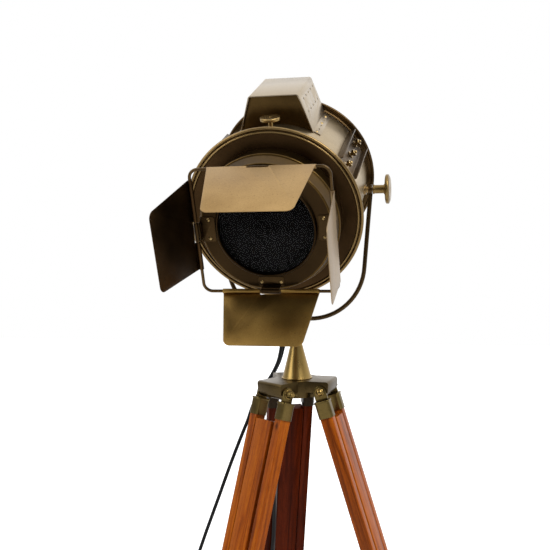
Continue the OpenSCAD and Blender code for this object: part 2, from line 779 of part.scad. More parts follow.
barrel_shell();
front_hoop();
face_ring();
snout();
lens_glass();
mesh_screen();
back_hoop();
back_cover();
chimney_shell();
chimney_panels();
head_screws();
side_brackets();
tilt_bosses();
reflector();
lamp_holder();
bulb();
glands();
inner_lead();
door_frame();
door_holders();
door_top();
door_right();
door_bottom();
door_left();
top_knob();
tilt_knob(0);  // tilt_knob_right
tilt_knob(1);  // tilt_knob_left
yoke();
spindle();
lock_nut();
cone();
tripod_head();
pivot_bolts();
leg_rails(1);  // leg1_rails
leg_caps(1);  // leg1_caps
leg_lower(1);  // leg1_lower
leg_foot(1);  // leg1_foot
leg_clamp(1);  // leg1_clamp
leg_clamp_knob(1);  // leg1_clamp_knob
leg_wing(1);  // leg1_wing
leg_rails(2);  // leg2_rails
leg_caps(2);  // leg2_caps
leg_lower(2);  // leg2_lower
leg_foot(2);  // leg2_foot
leg_clamp(2);  // leg2_clamp
leg_clamp_knob(2);  // leg2_clamp_knob
leg_wing(2);  // leg2_wing
leg_rails(3);  // leg3_rails
leg_caps(3);  // leg3_caps
leg_lower(3);  // leg3_lower
leg_foot(3);  // leg3_foot
leg_clamp(3);  // leg3_clamp
leg_clamp_knob(3);  // leg3_clamp_knob
leg_wing(3);  // leg3_wing
cord_supply();
cord_coil();
plug();
cord_switch();
foot_switch();
foot_button();
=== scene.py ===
import math

import bmesh
import bpy
from mathutils import Matrix, Vector


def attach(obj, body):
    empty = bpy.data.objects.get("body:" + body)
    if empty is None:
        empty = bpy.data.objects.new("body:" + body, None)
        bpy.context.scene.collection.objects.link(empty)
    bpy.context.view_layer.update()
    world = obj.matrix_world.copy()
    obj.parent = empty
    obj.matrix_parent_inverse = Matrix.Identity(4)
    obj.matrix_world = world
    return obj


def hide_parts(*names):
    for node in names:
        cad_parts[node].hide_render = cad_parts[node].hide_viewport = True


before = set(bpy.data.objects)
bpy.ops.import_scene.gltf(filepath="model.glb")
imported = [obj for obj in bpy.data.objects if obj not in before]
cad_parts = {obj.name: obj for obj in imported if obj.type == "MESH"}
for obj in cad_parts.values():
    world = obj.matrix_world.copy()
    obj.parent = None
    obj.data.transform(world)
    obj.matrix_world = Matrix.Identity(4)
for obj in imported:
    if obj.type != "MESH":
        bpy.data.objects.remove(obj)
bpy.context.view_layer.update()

# ---------------------------------------------------------------- frames, as in the part's source
MM = 0.001
ORIGIN = Vector((0.06185, -0.02017, 0.0))
PIVOT = Vector((0.0, 0.0, 1.316))
TILT = math.radians(20.5)
AXIS_LEAD = 28.8
AXIS_LIFT = 20.2
PLATE_TOP = 976.0
BOLT_REACH = 52.9
BOLT_Z = 957.7
SPLAY = math.radians(17.0)
STAND = Matrix.Translation(-ORIGIN)
TILTED = Matrix.Translation(PIVOT - ORIGIN) @ Matrix.Rotation(TILT, 4, "X")
HEAD = TILTED @ Matrix.Translation((0, -AXIS_LEAD * MM, AXIS_LIFT * MM))
LEG_ANGLES = [math.radians(a) for a in (-126.3, -6.3, 113.7)]
HINGE = [
    STAND @ Matrix.Rotation(a, 4, "Z") @ Matrix.Translation((BOLT_REACH * MM, 0, BOLT_Z * MM))
    for a in LEG_ANGLES
]
LEG = [m @ Matrix.Rotation(-SPLAY, 4, "Y") for m in HINGE]
LOWER_SHIFT = (-3.5, 3.5, -3.5)
# Turned shapes are drawn round Z, and this lays them along the barrel
ALONG = Matrix.Rotation(-math.pi / 2, 4, "X")
SIDEWAYS = Matrix.Rotation(math.pi / 2, 4, "Y")


def at(x, y, z):
    return Matrix.Translation((x, y, z))


def spin(degrees, axis):
    return Matrix.Rotation(math.radians(degrees), 4, axis)


# ---------------------------------------------------------------- camera
YAW = math.radians(12.7)
PITCH = math.radians(3.95)
ROLL = math.radians(-0.98)
CAMERA_AT = Vector((0.3222, -1.5976, 1.2774))
SENSOR = 36.0
PHOTO_PX = 550.0
FOCAL_PX = 900.0
turn = Matrix.Rotation(YAW, 3, "Z")
level = Vector((1, 0, 0))
upward = Vector((0, math.sin(PITCH), math.cos(PITCH)))
right = turn @ (math.cos(ROLL) * level + math.sin(ROLL) * upward)
above = turn @ (math.cos(ROLL) * upward - math.sin(ROLL) * level)
back = turn @ Vector((0, -math.cos(PITCH), math.sin(PITCH)))
camera_place = CAMERA_AT - ORIGIN
cam_data = bpy.data.cameras.new("camera")
cam_data.sensor_width = SENSOR
cam_data.lens = SENSOR * FOCAL_PX / PHOTO_PX
cam_data.clip_end = 50.0
camera = bpy.data.objects.new("camera", cam_data)
bpy.context.scene.collection.objects.link(camera)
camera.matrix_world = Matrix((
    (right.x, above.x, back.x, camera_place.x),
    (right.y, above.y, back.y, camera_place.y),
    (right.z, above.z, back.z, camera_place.z),
    (0, 0, 0, 1),
))
bpy.context.scene.camera = camera


# ---------------------------------------------------------------- shader helpers
def srgb(r, g, b):
    def lin(c):
        c = c / 255.0
        return c / 12.92 if c <= 0.04045 else ((c + 0.055) / 1.055) ** 2.4
    return (lin(r), lin(g), lin(b), 1.0)


class Nodes:
    def __init__(self, name):
        self.mat = bpy.data.materials.new(name)
        self.mat.use_nodes = True
        self.tree = self.mat.node_tree
        self.tree.nodes.clear()
        self.out = self.tree.nodes.new("ShaderNodeOutputMaterial")
        self.bsdf = self.tree.nodes.new("ShaderNodeBsdfPrincipled")
        self.link(self.bsdf, 0, self.out, "Surface")

    def add(self, kind, **values):
        node = self.tree.nodes.new("ShaderNode" + kind)
        for key, value in values.items():
            setattr(node, key, value)
        return node

    def link(self, a, a_out, b, b_in):
        self.tree.links.new(a.outputs[a_out], b.inputs[b_in])

    def coords(self, matrix=None, scale=(1, 1, 1)):
        """Position on the piece, in the frame of matrix, in metres times scale."""
        tex = self.add("TexCoord")
        if matrix is None:
            m = self.add("Mapping")
            m.inputs["Scale"].default_value = scale
            self.link(tex, "Object", m, "Vector")
            return m
        inv = matrix.inverted()
        m1 = self.add("Mapping")
        m1.inputs["Location"].default_value = inv.to_translation()
        m1.inputs["Rotation"].default_value = inv.to_euler("XYZ")
        self.link(tex, "Object", m1, "Vector")
        m2 = self.add("Mapping")
        m2.inputs["Scale"].default_value = scale
        self.link(m1, "Vector", m2, "Vector")
        return m2

    def noise(self, vec, scale, detail=3.0, rough=0.55, distort=0.0):
        n = self.add("TexNoise")
        n.inputs["Scale"].default_value = scale
        n.inputs["Detail"].default_value = detail
        n.inputs["Roughness"].default_value = rough
        n.inputs["Distortion"].default_value = distort
        self.link(vec, "Vector", n, "Vector")
        return n

    def ramp(self, src, out, stops):
        r = self.add("ValToRGB")
        el = r.color_ramp.elements
        while len(el) > 1:
            el.remove(el[-1])
        el[0].position = stops[0][0]
        el[0].color = stops[0][1]
        for p, c in stops[1:]:
            e = el.new(p)
            e.color = c
        self.link(src, out, r, "Fac")
        return r

    def remap(self, src, out, lo, hi, to_lo, to_hi):
        m = self.add("MapRange")
        m.inputs["From Min"].default_value = lo
        m.inputs["From Max"].default_value = hi
        m.inputs["To Min"].default_value = to_lo
        m.inputs["To Max"].default_value = to_hi
        self.link(src, out, m, "Value")
        return m

    def mix(self, fac, a, b, blend="MIX"):
        m = self.add("Mix", data_type="RGBA", blend_type=blend)
        if isinstance(fac, (int, float)):
            m.inputs["Factor"].default_value = fac
        else:
            self.link(fac[0], fac[1], m, "Factor")
        for socket, v in ((6, a), (7, b)):
            if isinstance(v[0], (int, float)):
                m.inputs[socket].default_value = v
            else:
                self.tree.links.new(v[0].outputs[v[1]], m.inputs[socket])
        return m

    def gray(self, src, out):
        g = self.add("CombineColor")
        for k in ("Red", "Green", "Blue"):
            self.link(src, out, g, k)
        return g

    def bump(self, src, out, strength, distance, normal=None):
        b = self.add("Bump")
        b.inputs["Strength"].default_value = strength
        b.inputs["Distance"].default_value = distance
        self.link(src, out, b, "Height")
        if normal is not None:
            self.link(normal, "Normal", b, "Normal")
        return b

    def set(self, **values):
        for key, value in values.items():
            self.bsdf.inputs[key.replace("_", " ")].default_value = value


def dim(color, k):
    return tuple(c * k for c in color[:3]) + (1.0,)


def brass(name, light, dark, rough=(0.30, 0.42), scale=(1, 1, 1), matrix=HEAD, grain=0.10, speck=0.5):
    """Aged brass: slow tone changes, fine brushing, light specks and small dark spots."""
    n = Nodes(name)
    place = n.coords(matrix)
    brushed = n.coords(matrix, scale)
    slow = n.noise(place, 11.0, 3.0, 0.6)
    tone = n.ramp(slow, "Fac", [(0.32, dark), (0.68, light)])
    fine = n.noise(brushed, 800.0, 2.0, 0.6)
    dark_spots = n.remap(n.noise(place, 420.0, 2.0, 0.5), "Fac", 0.60, 0.74, 0.0, speck)
    col = n.mix((dark_spots, "Result"), (tone, "Color"), dim(dark, 0.5))
    bright = n.remap(n.noise(place, 300.0, 2.0, 0.5), "Fac", 0.63, 0.76, 0.0, speck * 0.6)
    col2 = n.mix((bright, "Result"), (col, 2), tuple(min(1.0, c * 1.4) for c in light[:3]) + (1.0,))
    shade = n.remap(fine, "Fac", 0.3, 0.7, 0.88, 1.08)
    full = n.mix(1.0, (col2, 2), (n.gray(shade, "Result"), "Color"), "MULTIPLY")
    n.link(full, 2, n.bsdf, "Base Color")
    r = n.remap(slow, "Fac", 0.3, 0.7, rough[0], rough[1])
    n.link(r, "Result", n.bsdf, "Roughness")
    b = n.bump(fine, "Fac", grain, 0.0003)
    n.link(b, "Normal", n.bsdf, "Normal")
    n.set(Metallic=1.0)
    return n.mat


def plain(name, color, rough, metallic=0.0, bump=0.0, scale=700.0, shine=0.5):
    n = Nodes(name)
    f = n.noise(n.coords(), scale, 3.0)
    hi = tuple(min(1.0, v * 1.15) for v in color[:3]) + (1.0,)
    tone = n.ramp(f, "Fac", [(0.3, dim(color, 0.8)), (0.7, hi)])
    n.link(tone, "Color", n.bsdf, "Base Color")
    r = n.remap(f, "Fac", 0.3, 0.7, rough * 0.9, min(1.0, rough * 1.1))
    n.link(r, "Result", n.bsdf, "Roughness")
    if bump:
        b = n.bump(f, "Fac", bump, 0.0004)
        n.link(b, "Normal", n.bsdf, "Normal")
    n.set(Metallic=metallic)
    n.bsdf.inputs["Specular IOR Level"].default_value = shine
    return n.mat


def wood(name, leg, light, mid, dark, seed, knot=None, gloss=0.08):
    """Stained, varnished timber with its grain along the leg."""
    n = Nodes(name)
    long = n.coords(LEG[leg], (1.0, 1.0, 0.05))
    seeded = n.add("Mapping")
    seeded.inputs["Location"].default_value = (seed, seed * 0.7, seed * 0.3)
    n.link(long, "Vector", seeded, "Vector")
    bands = n.noise(seeded, 75.0, 4.0, 0.6, 0.8)
    tone = n.ramp(bands, "Fac", [(0.30, dark), (0.45, mid), (0.62, light), (0.78, mid)])
    fine = n.noise(seeded, 900.0, 3.0, 0.7)
    fibres = n.remap(fine, "Fac", 0.35, 0.7, 0.70, 1.06)
    full = n.mix(1.0, (tone, "Color"), (n.gray(fibres, "Result"), "Color"), "MULTIPLY")
    pores = n.noise(seeded, 2200.0, 1.0, 0.5)
    pore = n.remap(pores, "Fac", 0.60, 0.70, 0.0, 0.55)
    col = n.mix((pore, "Result"), (full, 2), dim(dark, 0.45))
    if knot is not None:
        where = n.coords(LEG[leg])
        dist = n.add("VectorMath", operation="DISTANCE")
        squash = n.add("Mapping")
        squash.inputs["Scale"].default_value = (1.0, 1.0, 0.5)
        n.link(where, "Vector", squash, "Vector")
        n.link(squash, "Vector", dist, 0)
        dist.inputs[1].default_value = (knot[0], knot[1], knot[2] * 0.5)
        mark = n.remap(dist, "Value", 0.0015, 0.0045, 0.85, 0.0)
        col = n.mix((mark, "Result"), (col, 2), dim(dark, 0.3))
    n.link(col, 2, n.bsdf, "Base Color")
    r = n.remap(fine, "Fac", 0.3, 0.7, 0.40, 0.28)
    n.link(r, "Result", n.bsdf, "Roughness")
    b = n.bump(fine, "Fac", 0.10, 0.0003)
    n.link(b, "Normal", n.bsdf, "Normal")
    n.bsdf.inputs["Specular IOR Level"].default_value = gloss
    n.bsdf.inputs["Coat Weight"].default_value = gloss
    n.bsdf.inputs["Coat Roughness"].default_value = 0.15
    return n.mat


# ---------------------------------------------------------------- materials
antique = brass("antique_brass", srgb(152, 128, 88), srgb(122, 98, 62))
spun = brass("spun_brass", srgb(176, 158, 126), srgb(152, 132, 98), (0.30, 0.40), (0.3, 1.0, 0.3))
snout_brass = brass("snout_brass", srgb(90, 69, 36), srgb(68, 52, 26), (0.28, 0.38), (0.3, 1.0, 0.3))
hood_brass = brass("hood_brass", srgb(176, 162, 140), srgb(156, 141, 118), (0.26, 0.38), speck=0.3)
rim_brass = brass("rim_brass", srgb(138, 114, 74), srgb(108, 87, 54), (0.24, 0.34), speck=0.3)
bracket_brass = brass("bracket_brass", srgb(66, 50, 29), srgb(50, 37, 21), (0.28, 0.40), speck=0.3)
# Painted shade: the snout's plate is far darker than the rest of the brass for the shade deep inside the
# doors
snout_plate_shade_brass = brass("snout_plate_shade_brass", srgb(54, 40, 23), srgb(40, 29, 16), (0.30, 0.42), speck=0.3)
# The four door leaves each have their own copy of the brass, lighter or darker for the light on it: painted
# reflection on the top and right leaves, painted light on the bottom one, painted shade on the left one
top_leaf_reflection_brass = brass("top_leaf_painted_reflection", srgb(168, 138, 92), srgb(146, 117, 75), (0.34, 0.44))
# Painted shade: a darker, duller copy of the brass for the back hoop, the side channels and the door wire
shade_brass = brass("dull_and_painted_shade_brass", srgb(92, 72, 45), srgb(70, 54, 33), (0.34, 0.46))
polished = brass("polished_brass", srgb(176, 148, 96), srgb(146, 120, 74), (0.20, 0.30), speck=0.25)
right_leaf_reflection_brass = brass("right_leaf_painted_reflection", srgb(150, 127, 94), srgb(130, 108, 77), (0.34, 0.44))
bottom_leaf_light_brass = brass("bottom_leaf_painted_light", srgb(150, 119, 64), srgb(124, 97, 49), (0.30, 0.40))
# Painted shade: the hood's recessed end panels are much darker than its sheet
hood_end_shade_brass = brass("hood_end_shade_brass", srgb(94, 73, 40), srgb(68, 51, 27), (0.30, 0.42), speck=0.3)
left_leaf_shade_brass = brass("left_leaf_painted_shade", srgb(74, 54, 32), srgb(54, 39, 22), (0.34, 0.44), speck=0.3)
knob_brass = brass("knob_brass", srgb(136, 112, 68), srgb(108, 87, 51), (0.24, 0.34), speck=0.25)
stand_brass = brass("stand_brass", srgb(160, 134, 80), srgb(132, 108, 60), (0.24, 0.36), matrix=STAND,
                    speck=0.35)
cast_brass = brass("cast_brass", srgb(92, 76, 46), srgb(68, 55, 32), (0.26, 0.38), matrix=STAND)
cap_brass = brass("cap_brass", srgb(118, 100, 58), srgb(94, 79, 44), (0.26, 0.38), matrix=STAND)
rod_brass = brass("rod_brass", srgb(72, 56, 34), srgb(54, 42, 25), (0.26, 0.38), matrix=STAND)
# The face plate's brass is dark partly for its antique finish and partly as painted dark reflection
face_finish_and_reflection_brass = brass("face_finish_and_reflection_brass", srgb(66, 48, 28), srgb(44, 31, 17), (0.30, 0.42), speck=0.3)
# Painted shade: the rear leg's ferrules and wing nut are a darker copy of the ferrules' brass
rear_leg_shade_brass = brass("rear_leg_shade_brass", srgb(52, 42, 30), srgb(30, 24, 17), (0.34, 0.46), matrix=STAND,
                    speck=0.3)
rivet_brass = brass("rivet_brass", srgb(178, 152, 102), srgb(138, 114, 72), (0.24, 0.34), speck=0.2)
steel = plain("steel", srgb(150, 150, 148), 0.35, 1.0, 0.05)
shiny = plain("reflector_metal", srgb(215, 215, 212), 0.2, 1.0)
black_plastic = plain("black_plastic", srgb(24, 24, 24), 0.45, 0.0, 0.1, shine=0.3)
black_cord = plain("black_cord", srgb(11, 11, 11), 0.5, bump=0.05, shine=0.2)
frosted = plain("frosted_glass", srgb(235, 230, 220), 0.4)
lens_glass = Nodes("lens_glass")
lens_glass.set(Base_Color=(0.01, 0.01, 0.01, 1), Roughness=0.12, Alpha=0.25)
lens_glass.bsdf.inputs["Specular IOR Level"].default_value = 0.12


def mesh_material():
    """Fine woven wire: black, with darker holes in rows."""
    n = Nodes("mesh")
    grid = n.coords(HEAD, (1, 1, 1))
    dots = n.add("TexVoronoi", feature="F1", voronoi_dimensions="3D")
    dots.inputs["Scale"].default_value = 900.0
    dots.inputs["Randomness"].default_value = 0.0
    n.link(grid, "Vector", dots, "Vector")
    tone = n.ramp(dots, "Distance", [(0.30, srgb(7, 7, 7)), (0.48, srgb(18, 17, 16))])
    n.link(tone, "Color", n.bsdf, "Base Color")
    b = n.bump(dots, "Distance", 0.3, 0.0002)
    n.link(b, "Normal", n.bsdf, "Normal")
    n.set(Roughness=0.6, Metallic=0.0)
    n.bsdf.inputs["Specular IOR Level"].default_value = 0.2
    return n.mat


mesh_black = mesh_material()
HONEY = (srgb(172, 90, 18), srgb(150, 71, 11), srgb(98, 42, 7))
# Painted shade: the rear leg's timber is a darker copy of the same wood
REAR_SHADE_WOOD = (srgb(98, 34, 6), srgb(76, 24, 4), srgb(50, 15, 2))
woods = [
    wood("wood_left", 0, *HONEY, 1.3, knot=(0.0115, 0.034, -0.058)),
    wood("wood_right", 1, *HONEY, 5.1),
    wood("wood_rear", 2, *REAR_SHADE_WOOD, 9.7, gloss=0.03),
]


# ---------------------------------------------------------------- mesh helpers
def arc(x, y, r, a0, a1, n=8):
    """Points of an arc round (x, y), its angles in degrees."""
    out = []
    for k in range(n + 1):
        a = math.radians(a0 + (a1 - a0) * k / n)
        out.append((x + r * math.cos(a), y + r * math.sin(a)))
    return out


def rounded(points, radii, n=5):
    """A closed outline with each corner turned into an arc. radii is one number or one for each."""
    if isinstance(radii, (int, float)):
        radii = [radii] * len(points)
    out = []
    m = len(points)
    for i in range(m):
        p, q, s = (Vector(points[j % m]) for j in (i - 1, i, i + 1))
        r = radii[i]
        a, b = (p - q).normalized(), (s - q).normalized()
        half = a.angle(b) / 2
        if r <= 0 or half > math.radians(89):
            out.append(tuple(q))
            continue
        reach = min(r / math.tan(half), 0.49 * (p - q).length, 0.49 * (s - q).length)
        r = reach * math.tan(half)
        centre = q + (a + b).normalized() * (r / math.sin(half))
        v0, v1 = (q + a * reach) - centre, (q + b * reach) - centre
        a0 = math.atan2(v0.y, v0.x)
        sweep = (math.atan2(v1.y, v1.x) - a0 + math.pi) % (2 * math.pi) - math.pi
        for k in range(n + 1):
            t = a0 + sweep * k / n
            out.append((centre.x + r * math.cos(t), centre.y + r * math.sin(t)))
    return out


class Shape:
    """A mesh drawn in millimetres in the frame of place."""

    def __init__(self, place):
        self.bm = bmesh.new()
        self.place = place

    def ring(self, points, m=None):
        """One row of points, in the frame m."""
        m = m or Matrix()
        return [self.bm.verts.new(self.place @ ((m @ Vector(p)) * MM)) for p in points]

    def skin(self, rings, caps=True, loop=False):
        """Joins each row of points to the next with faces, and closes the two ends."""
        pairs = list(zip(rings, rings[1:]))
        if loop:
            pairs.append((rings[-1], rings[0]))
        for a, b in pairs:
            if len(a) == 1 or len(b) == 1:
                pole, rim = (a[0], b) if len(a) == 1 else (b[0], a)
                for k in range(len(rim)):
                    self.bm.faces.new((pole, rim[k], rim[(k + 1) % len(rim)]))
                continue
            for k in range(len(a)):
                j = (k + 1) % len(a)
                self.bm.faces.new((a[k], a[j], b[j], b[k]))
        if caps and not loop:
            for r in (rings[0], rings[-1]):
                if len(r) > 2:
                    self.bm.faces.new(r)
        return self

    def lathe(self, outline, m=None, n=160, loop=True):
        """Turns an outline of (radius, height) round Z."""
        rings = []
        for r, h in outline:
            if r < 1e-6:
                rings.append(self.ring([(0, 0, h)], m))
            else:
                angles = [2 * math.pi * k / n for k in range(n)]
                rings.append(self.ring([(r * math.cos(a), r * math.sin(a), h) for a in angles], m))
        return self.skin(rings, caps=False, loop=loop)

    def solid(self, outline, m=None, n=48):
        """A turned solid whose outline starts and ends on the axis."""
        return self.lathe(outline, m, n, loop=False)

    def prism(self, outline, low, high, m=None):
        """An outline of (x, y) raised from low to high."""
        return self.skin([self.ring([(x, y, z) for x, y in outline], m) for z in (low, high)])

    def box(self, lo, hi, m=None):
        (x0, y0, z0), (x1, y1, z1) = lo, hi
        return self.prism([(x0, y0), (x1, y0), (x1, y1), (x0, y1)], z0, z1, m)

    def tube(self, path, r, n=24, loop=False):
        """A round rod along a path."""
        path = [Vector(p) for p in path]
        count = len(path)
        rings = []
        normal = None
        for i, p in enumerate(path):
            before = path[i - 1] if i or loop else path[0]
            after = path[(i + 1) % count] if i < count - 1 or loop else path[-1]
            d = (after - before).normalized()
            if normal is None:
                normal = Vector((0, 1, 0)) if abs(d.y) < 0.9 else Vector((1, 0, 0))
            normal = (normal - d * normal.dot(d)).normalized()
            side = d.cross(normal)
            rings.append(self.ring([
                p + r * (math.cos(2 * math.pi * k / n) * normal + math.sin(2 * math.pi * k / n) * side)
                for k in range(n)]))
        return self.skin(rings, loop=loop)

    def cut(self, *others, operation="DIFFERENCE"):
        """Takes other shapes away from this one, or joins them to it."""
        obs = []
        for s in (self,) + others:
            bmesh.ops.recalc_face_normals(s.bm, faces=s.bm.faces)
            me = bpy.data.meshes.new("scrap")
            s.bm.to_mesh(me)
            ob = bpy.data.objects.new("scrap", me)
            bpy.context.scene.collection.objects.link(ob)
            obs.append(ob)
        for other in obs[1:]:
            mod = obs[0].modifiers.new("cut", "BOOLEAN")
            mod.operation = operation
            mod.solver = "EXACT"
            mod.object = other
        bpy.context.view_layer.update()
        graph = bpy.context.evaluated_depsgraph_get()
        result = bpy.data.meshes.new_from_object(obs[0].evaluated_get(graph))
        self.bm.free()
        self.bm = bmesh.new()
        self.bm.from_mesh(result)
        for ob in obs:
            me = ob.data
            bpy.data.objects.remove(ob)
            bpy.data.meshes.remove(me)
        bpy.data.meshes.remove(result)
        bmesh.ops.remove_doubles(self.bm, verts=self.bm.verts, dist=1e-6)
        bmesh.ops.dissolve_limit(self.bm, angle_limit=math.radians(0.5), verts=self.bm.verts,
                                 edges=self.bm.edges)
        return self

    def done(self, name, mat, body, slot, *nodes, bevel=0.0, sharp=34.0, steps=3):
        """Rounds the sharp edges and makes the piece, on its body and in place of its CAD nodes."""
        bm = self.bm
        bmesh.ops.recalc_face_normals(bm, faces=bm.faces)
        if bevel:
            edges = [e for e in bm.edges if e.is_manifold and e.calc_face_angle() > math.radians(sharp)]
            bmesh.ops.bevel(bm, geom=edges, offset=bevel * MM, offset_type="OFFSET", segments=steps,
                            profile=0.5, affect="EDGES", clamp_overlap=True)
        mesh = bpy.data.meshes.new(name)
        bm.to_mesh(mesh)
        bm.free()
        for p in mesh.polygons:
            p.use_smooth = True
        mesh.set_sharp_from_angle(angle=math.radians(sharp))
        mesh.materials.append(mat)
        ob = bpy.data.objects.new(name, mesh)
        bpy.context.scene.collection.objects.link(ob)
        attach(ob, body)
        if nodes:
            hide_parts(*nodes)
        return ob


def paint(node, mat):
    """Gives a CAD node that keeps its shape a material."""
    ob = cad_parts[node]
    ob.data.materials.clear()
    ob.data.materials.append(mat)


# ---------------------------------------------------------------- cords
def between(p, i, t):
    """A point of the smooth curve through p, after its point i."""
    a, b, c, d = p[max(i - 1, 0)], p[i], p[i + 1], p[min(i + 2, len(p) - 1)]
    slope, bow, twist = c - a, 2 * a - 5 * b + 4 * c - d, 3 * b - a - 3 * c + d
    return 0.5 * (2 * b + slope * t + bow * t * t + twist * t * t * t)


def smooth(p, n):
    """A smooth run of points through p, with n for each stretch."""
    p = [Vector(q) for q in p]
    out = [between(p, i, k / n) for i in range(len(p) - 1) for k in range(n)]
    return out + [p[-1]]


def from_head(x, y, z):
    """A point given in the head's frame, in the stand's millimetres."""
    return tuple((Matrix.Translation(ORIGIN) @ HEAD @ Vector((x * MM, y * MM, z * MM))) / MM)


def cord_curve(name, points, radius, mat):
    """A round cord along points in millimetres. Its radius is in metres, as all of Blender's sizes."""
    cu = bpy.data.curves.new(name, "CURVE")
    cu.dimensions = "3D"
    cu.bevel_depth = radius
    cu.bevel_resolution = 5
    cu.use_fill_caps = True
    sp = cu.splines.new("POLY")
    sp.points.add(len(points) - 1)
    for q, v in zip(sp.points, points):
        q.co = (v.x * MM - ORIGIN.x, v.y * MM - ORIGIN.y, v.z * MM, 1.0)
    cu.materials.append(mat)
    ob = bpy.data.objects.new(name, cu)
    bpy.context.scene.collection.objects.link(ob)
    return ob


CORD_R = 3.4
# x and z of the supply cord's gland and of the switch cord's, in the head's frame, and the y where both end
GLAND_A = (-22, -88)
GLAND_B = (8, -92)
GLAND_END = 118
# How far behind a gland the cord's first points lie, in line with it
STRAIGHT_OUT = (0.05, 6, 18)
SUPPLY = [from_head(GLAND_A[0], GLAND_END + out, GLAND_A[1]) for out in STRAIGHT_OUT] + [
    (-22.5, 138.5, 1291.3), (-24, 151.5, 1285.3), (-26, 159.8, 1273.5), (-28.5, 161.2, 1259),
    (-30.5, 160.2, 1241), (-33, 156.5, 1218), (-36.5, 150, 1190), (-40, 141, 1155), (-44, 130, 1100),
    (-50, 121, 1045), (-57, 112, 995), (-67, 104, 968), (-79, 97, 948), (-88, 92, 937), (-97.5, 86, 920),
    (-105.5, 80, 902), (-114.5, 76, 875), (-125, 72, 849), (-146.5, 66, 794), (-172.5, 60, 723),
    (-209, 52, 623), (-242, 45, 520), (-272, 38, 414),
    (-301, 30, 310), (-330, 22, 205), (-351, 18, 116), (-366, 20, 52), (-372, 36, 16), (-372, 56, 4),
    (-371.6, 78, 4), (-371.6, 100, 4)]
SWITCH = [from_head(GLAND_B[0], GLAND_END + out, GLAND_B[1]) for out in STRAIGHT_OUT] + [
    (7.5, 140.3, 1287.7), (6, 153.4, 1281.5), (3.5, 161.7, 1269.7), (0.5, 163, 1255.2),
    (-3, 161.8, 1236), (-8, 158, 1212), (-14, 152, 1183), (-22, 146, 1150), (-34, 139, 1095),
    (-45, 130, 1045), (-55, 119.5, 996), (-66, 112.5, 969), (-77, 107, 948), (-84, 100, 924),
    (-88, 86, 892), (-87, 71, 862), (-82, 57.5, 838), (-75.5, 52, 820), (-66.5, 60, 795),
    (-66, 77, 757), (-68, 92, 708), (-80.5, 121, 602), (-100.5, 129.5, 551), (-119.5, 143, 500),
    (-140, 170, 405), (-153, 205, 300), (-166, 238, 200), (-177.5, 265, 105), (-181, 288, 44),
    (-176, 315, 12), (-160, 342, 4), (-125, 364, 4), (-90, 372, 7), (-70, 372, 8), (-58, 372, 8)]
COIL_AT = (-330, 160)
COIL_TURNS = 5.25
COIL_IN, COIL_OUT = 34.8, 41.6
CHANGE_AT, CHANGE_FOR = 0.72, 0.28  # the share of a turn after which it moves over to the next, and the rest


def coil_points():
    """The spare cord's turns: in from the left, round five and a quarter times, out along +X."""
    slots = [
        (COIL_OUT, 4.0), (COIL_IN, 4.0), (COIL_IN, 10.8), (COIL_OUT, 10.8), (COIL_IN, 17.4),
        (COIL_OUT, 17.6), (COIL_OUT, 17.6)]
    out = []
    steps = 36
    for k in range(int(steps * COIL_TURNS) + 1):
        u = k / steps
        i = int(u)
        w = max(0.0, (u - i - CHANGE_AT) / CHANGE_FOR)
        w = w * w * (3 - 2 * w)
        a, b = slots[i], slots[i + 1]
        r = a[0] + (b[0] - a[0]) * w
        z = a[1] + (b[1] - a[1]) * w
        ang = math.pi - 2 * math.pi * u
        out.append(Vector((COIL_AT[0] + r * math.cos(ang), COIL_AT[1] + r * math.sin(ang), z)))
    return out


supply_pts = smooth(SUPPLY, 3)
supply_pts += [Vector((-371.6, 120, 4)), Vector((-371.6, 140, 4))] + coil_points()
supply_pts += [Vector((-322, 201.6, 17.6)), Vector((-312, 201.6, 17.6)), Vector((-300, 201.6, 17.6))]
switch_pts = smooth(SWITCH, 3)


supply = cord_curve("supply_cord", supply_pts, CORD_R * MM, black_cord)
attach(supply, "stand")
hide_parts("cord_supply", "cord_coil")
switch = cord_curve("switch_cord", switch_pts, CORD_R * MM, black_cord)
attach(switch, "stand")
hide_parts("cord_switch")

# A flat tie round the coil's section, on the side away from the plug
tie = Shape(STAND)
where = at(COIL_AT[0], COIL_AT[1], 0) @ spin(-60, "Z") @ at(38.2, 0, 10.9) @ spin(90, "X")
band_out = rounded([(-7.9, -10.6), (7.9, -10.6), (7.9, 11.2), (-7.9, 11.2)], 3.4, 6)
band_in = rounded([(-7.0, -9.7), (7.0, -9.7), (7.0, 10.3), (-7.0, 10.3)], 2.7, 6)
tie.skin([tie.ring([(x, y, z) for x, y in band], where) for band, z in (
    (band_out, -4), (band_out, 4), (band_in, 4), (band_in, -4))], caps=False, loop=True)
tie.done("coil_tie", black_plastic, "stand", "black_plastic", bevel=0.0)

# ---------------------------------------------------------------- barrel
# Outlines here are (radius, y): the lamp looks along -Y, so a lower y is nearer to the front
RIM = -144.0
BARREL_R = 129.0
BARREL_IN = 127.8
BARREL_BACK = 63.0
SEAT_R = BARREL_R + 0.05  # where a hoop sits on the drum
FACE_R = 135.7
BEAD_AT = 137.6
BEAD_R = 1.9
ROUND = 192  # sides of the barrel's turned pieces

drum = [(BARREL_IN, RIM + 0.5), (BARREL_R, RIM + 0.5), (BARREL_R, BARREL_BACK), (BARREL_IN, BARREL_BACK)]
Shape(HEAD).lathe(rounded(drum, 0.3, 2), ALONG, ROUND).done(
    "barrel_skin", spun, "head", "brass_antique", "barrel_shell")

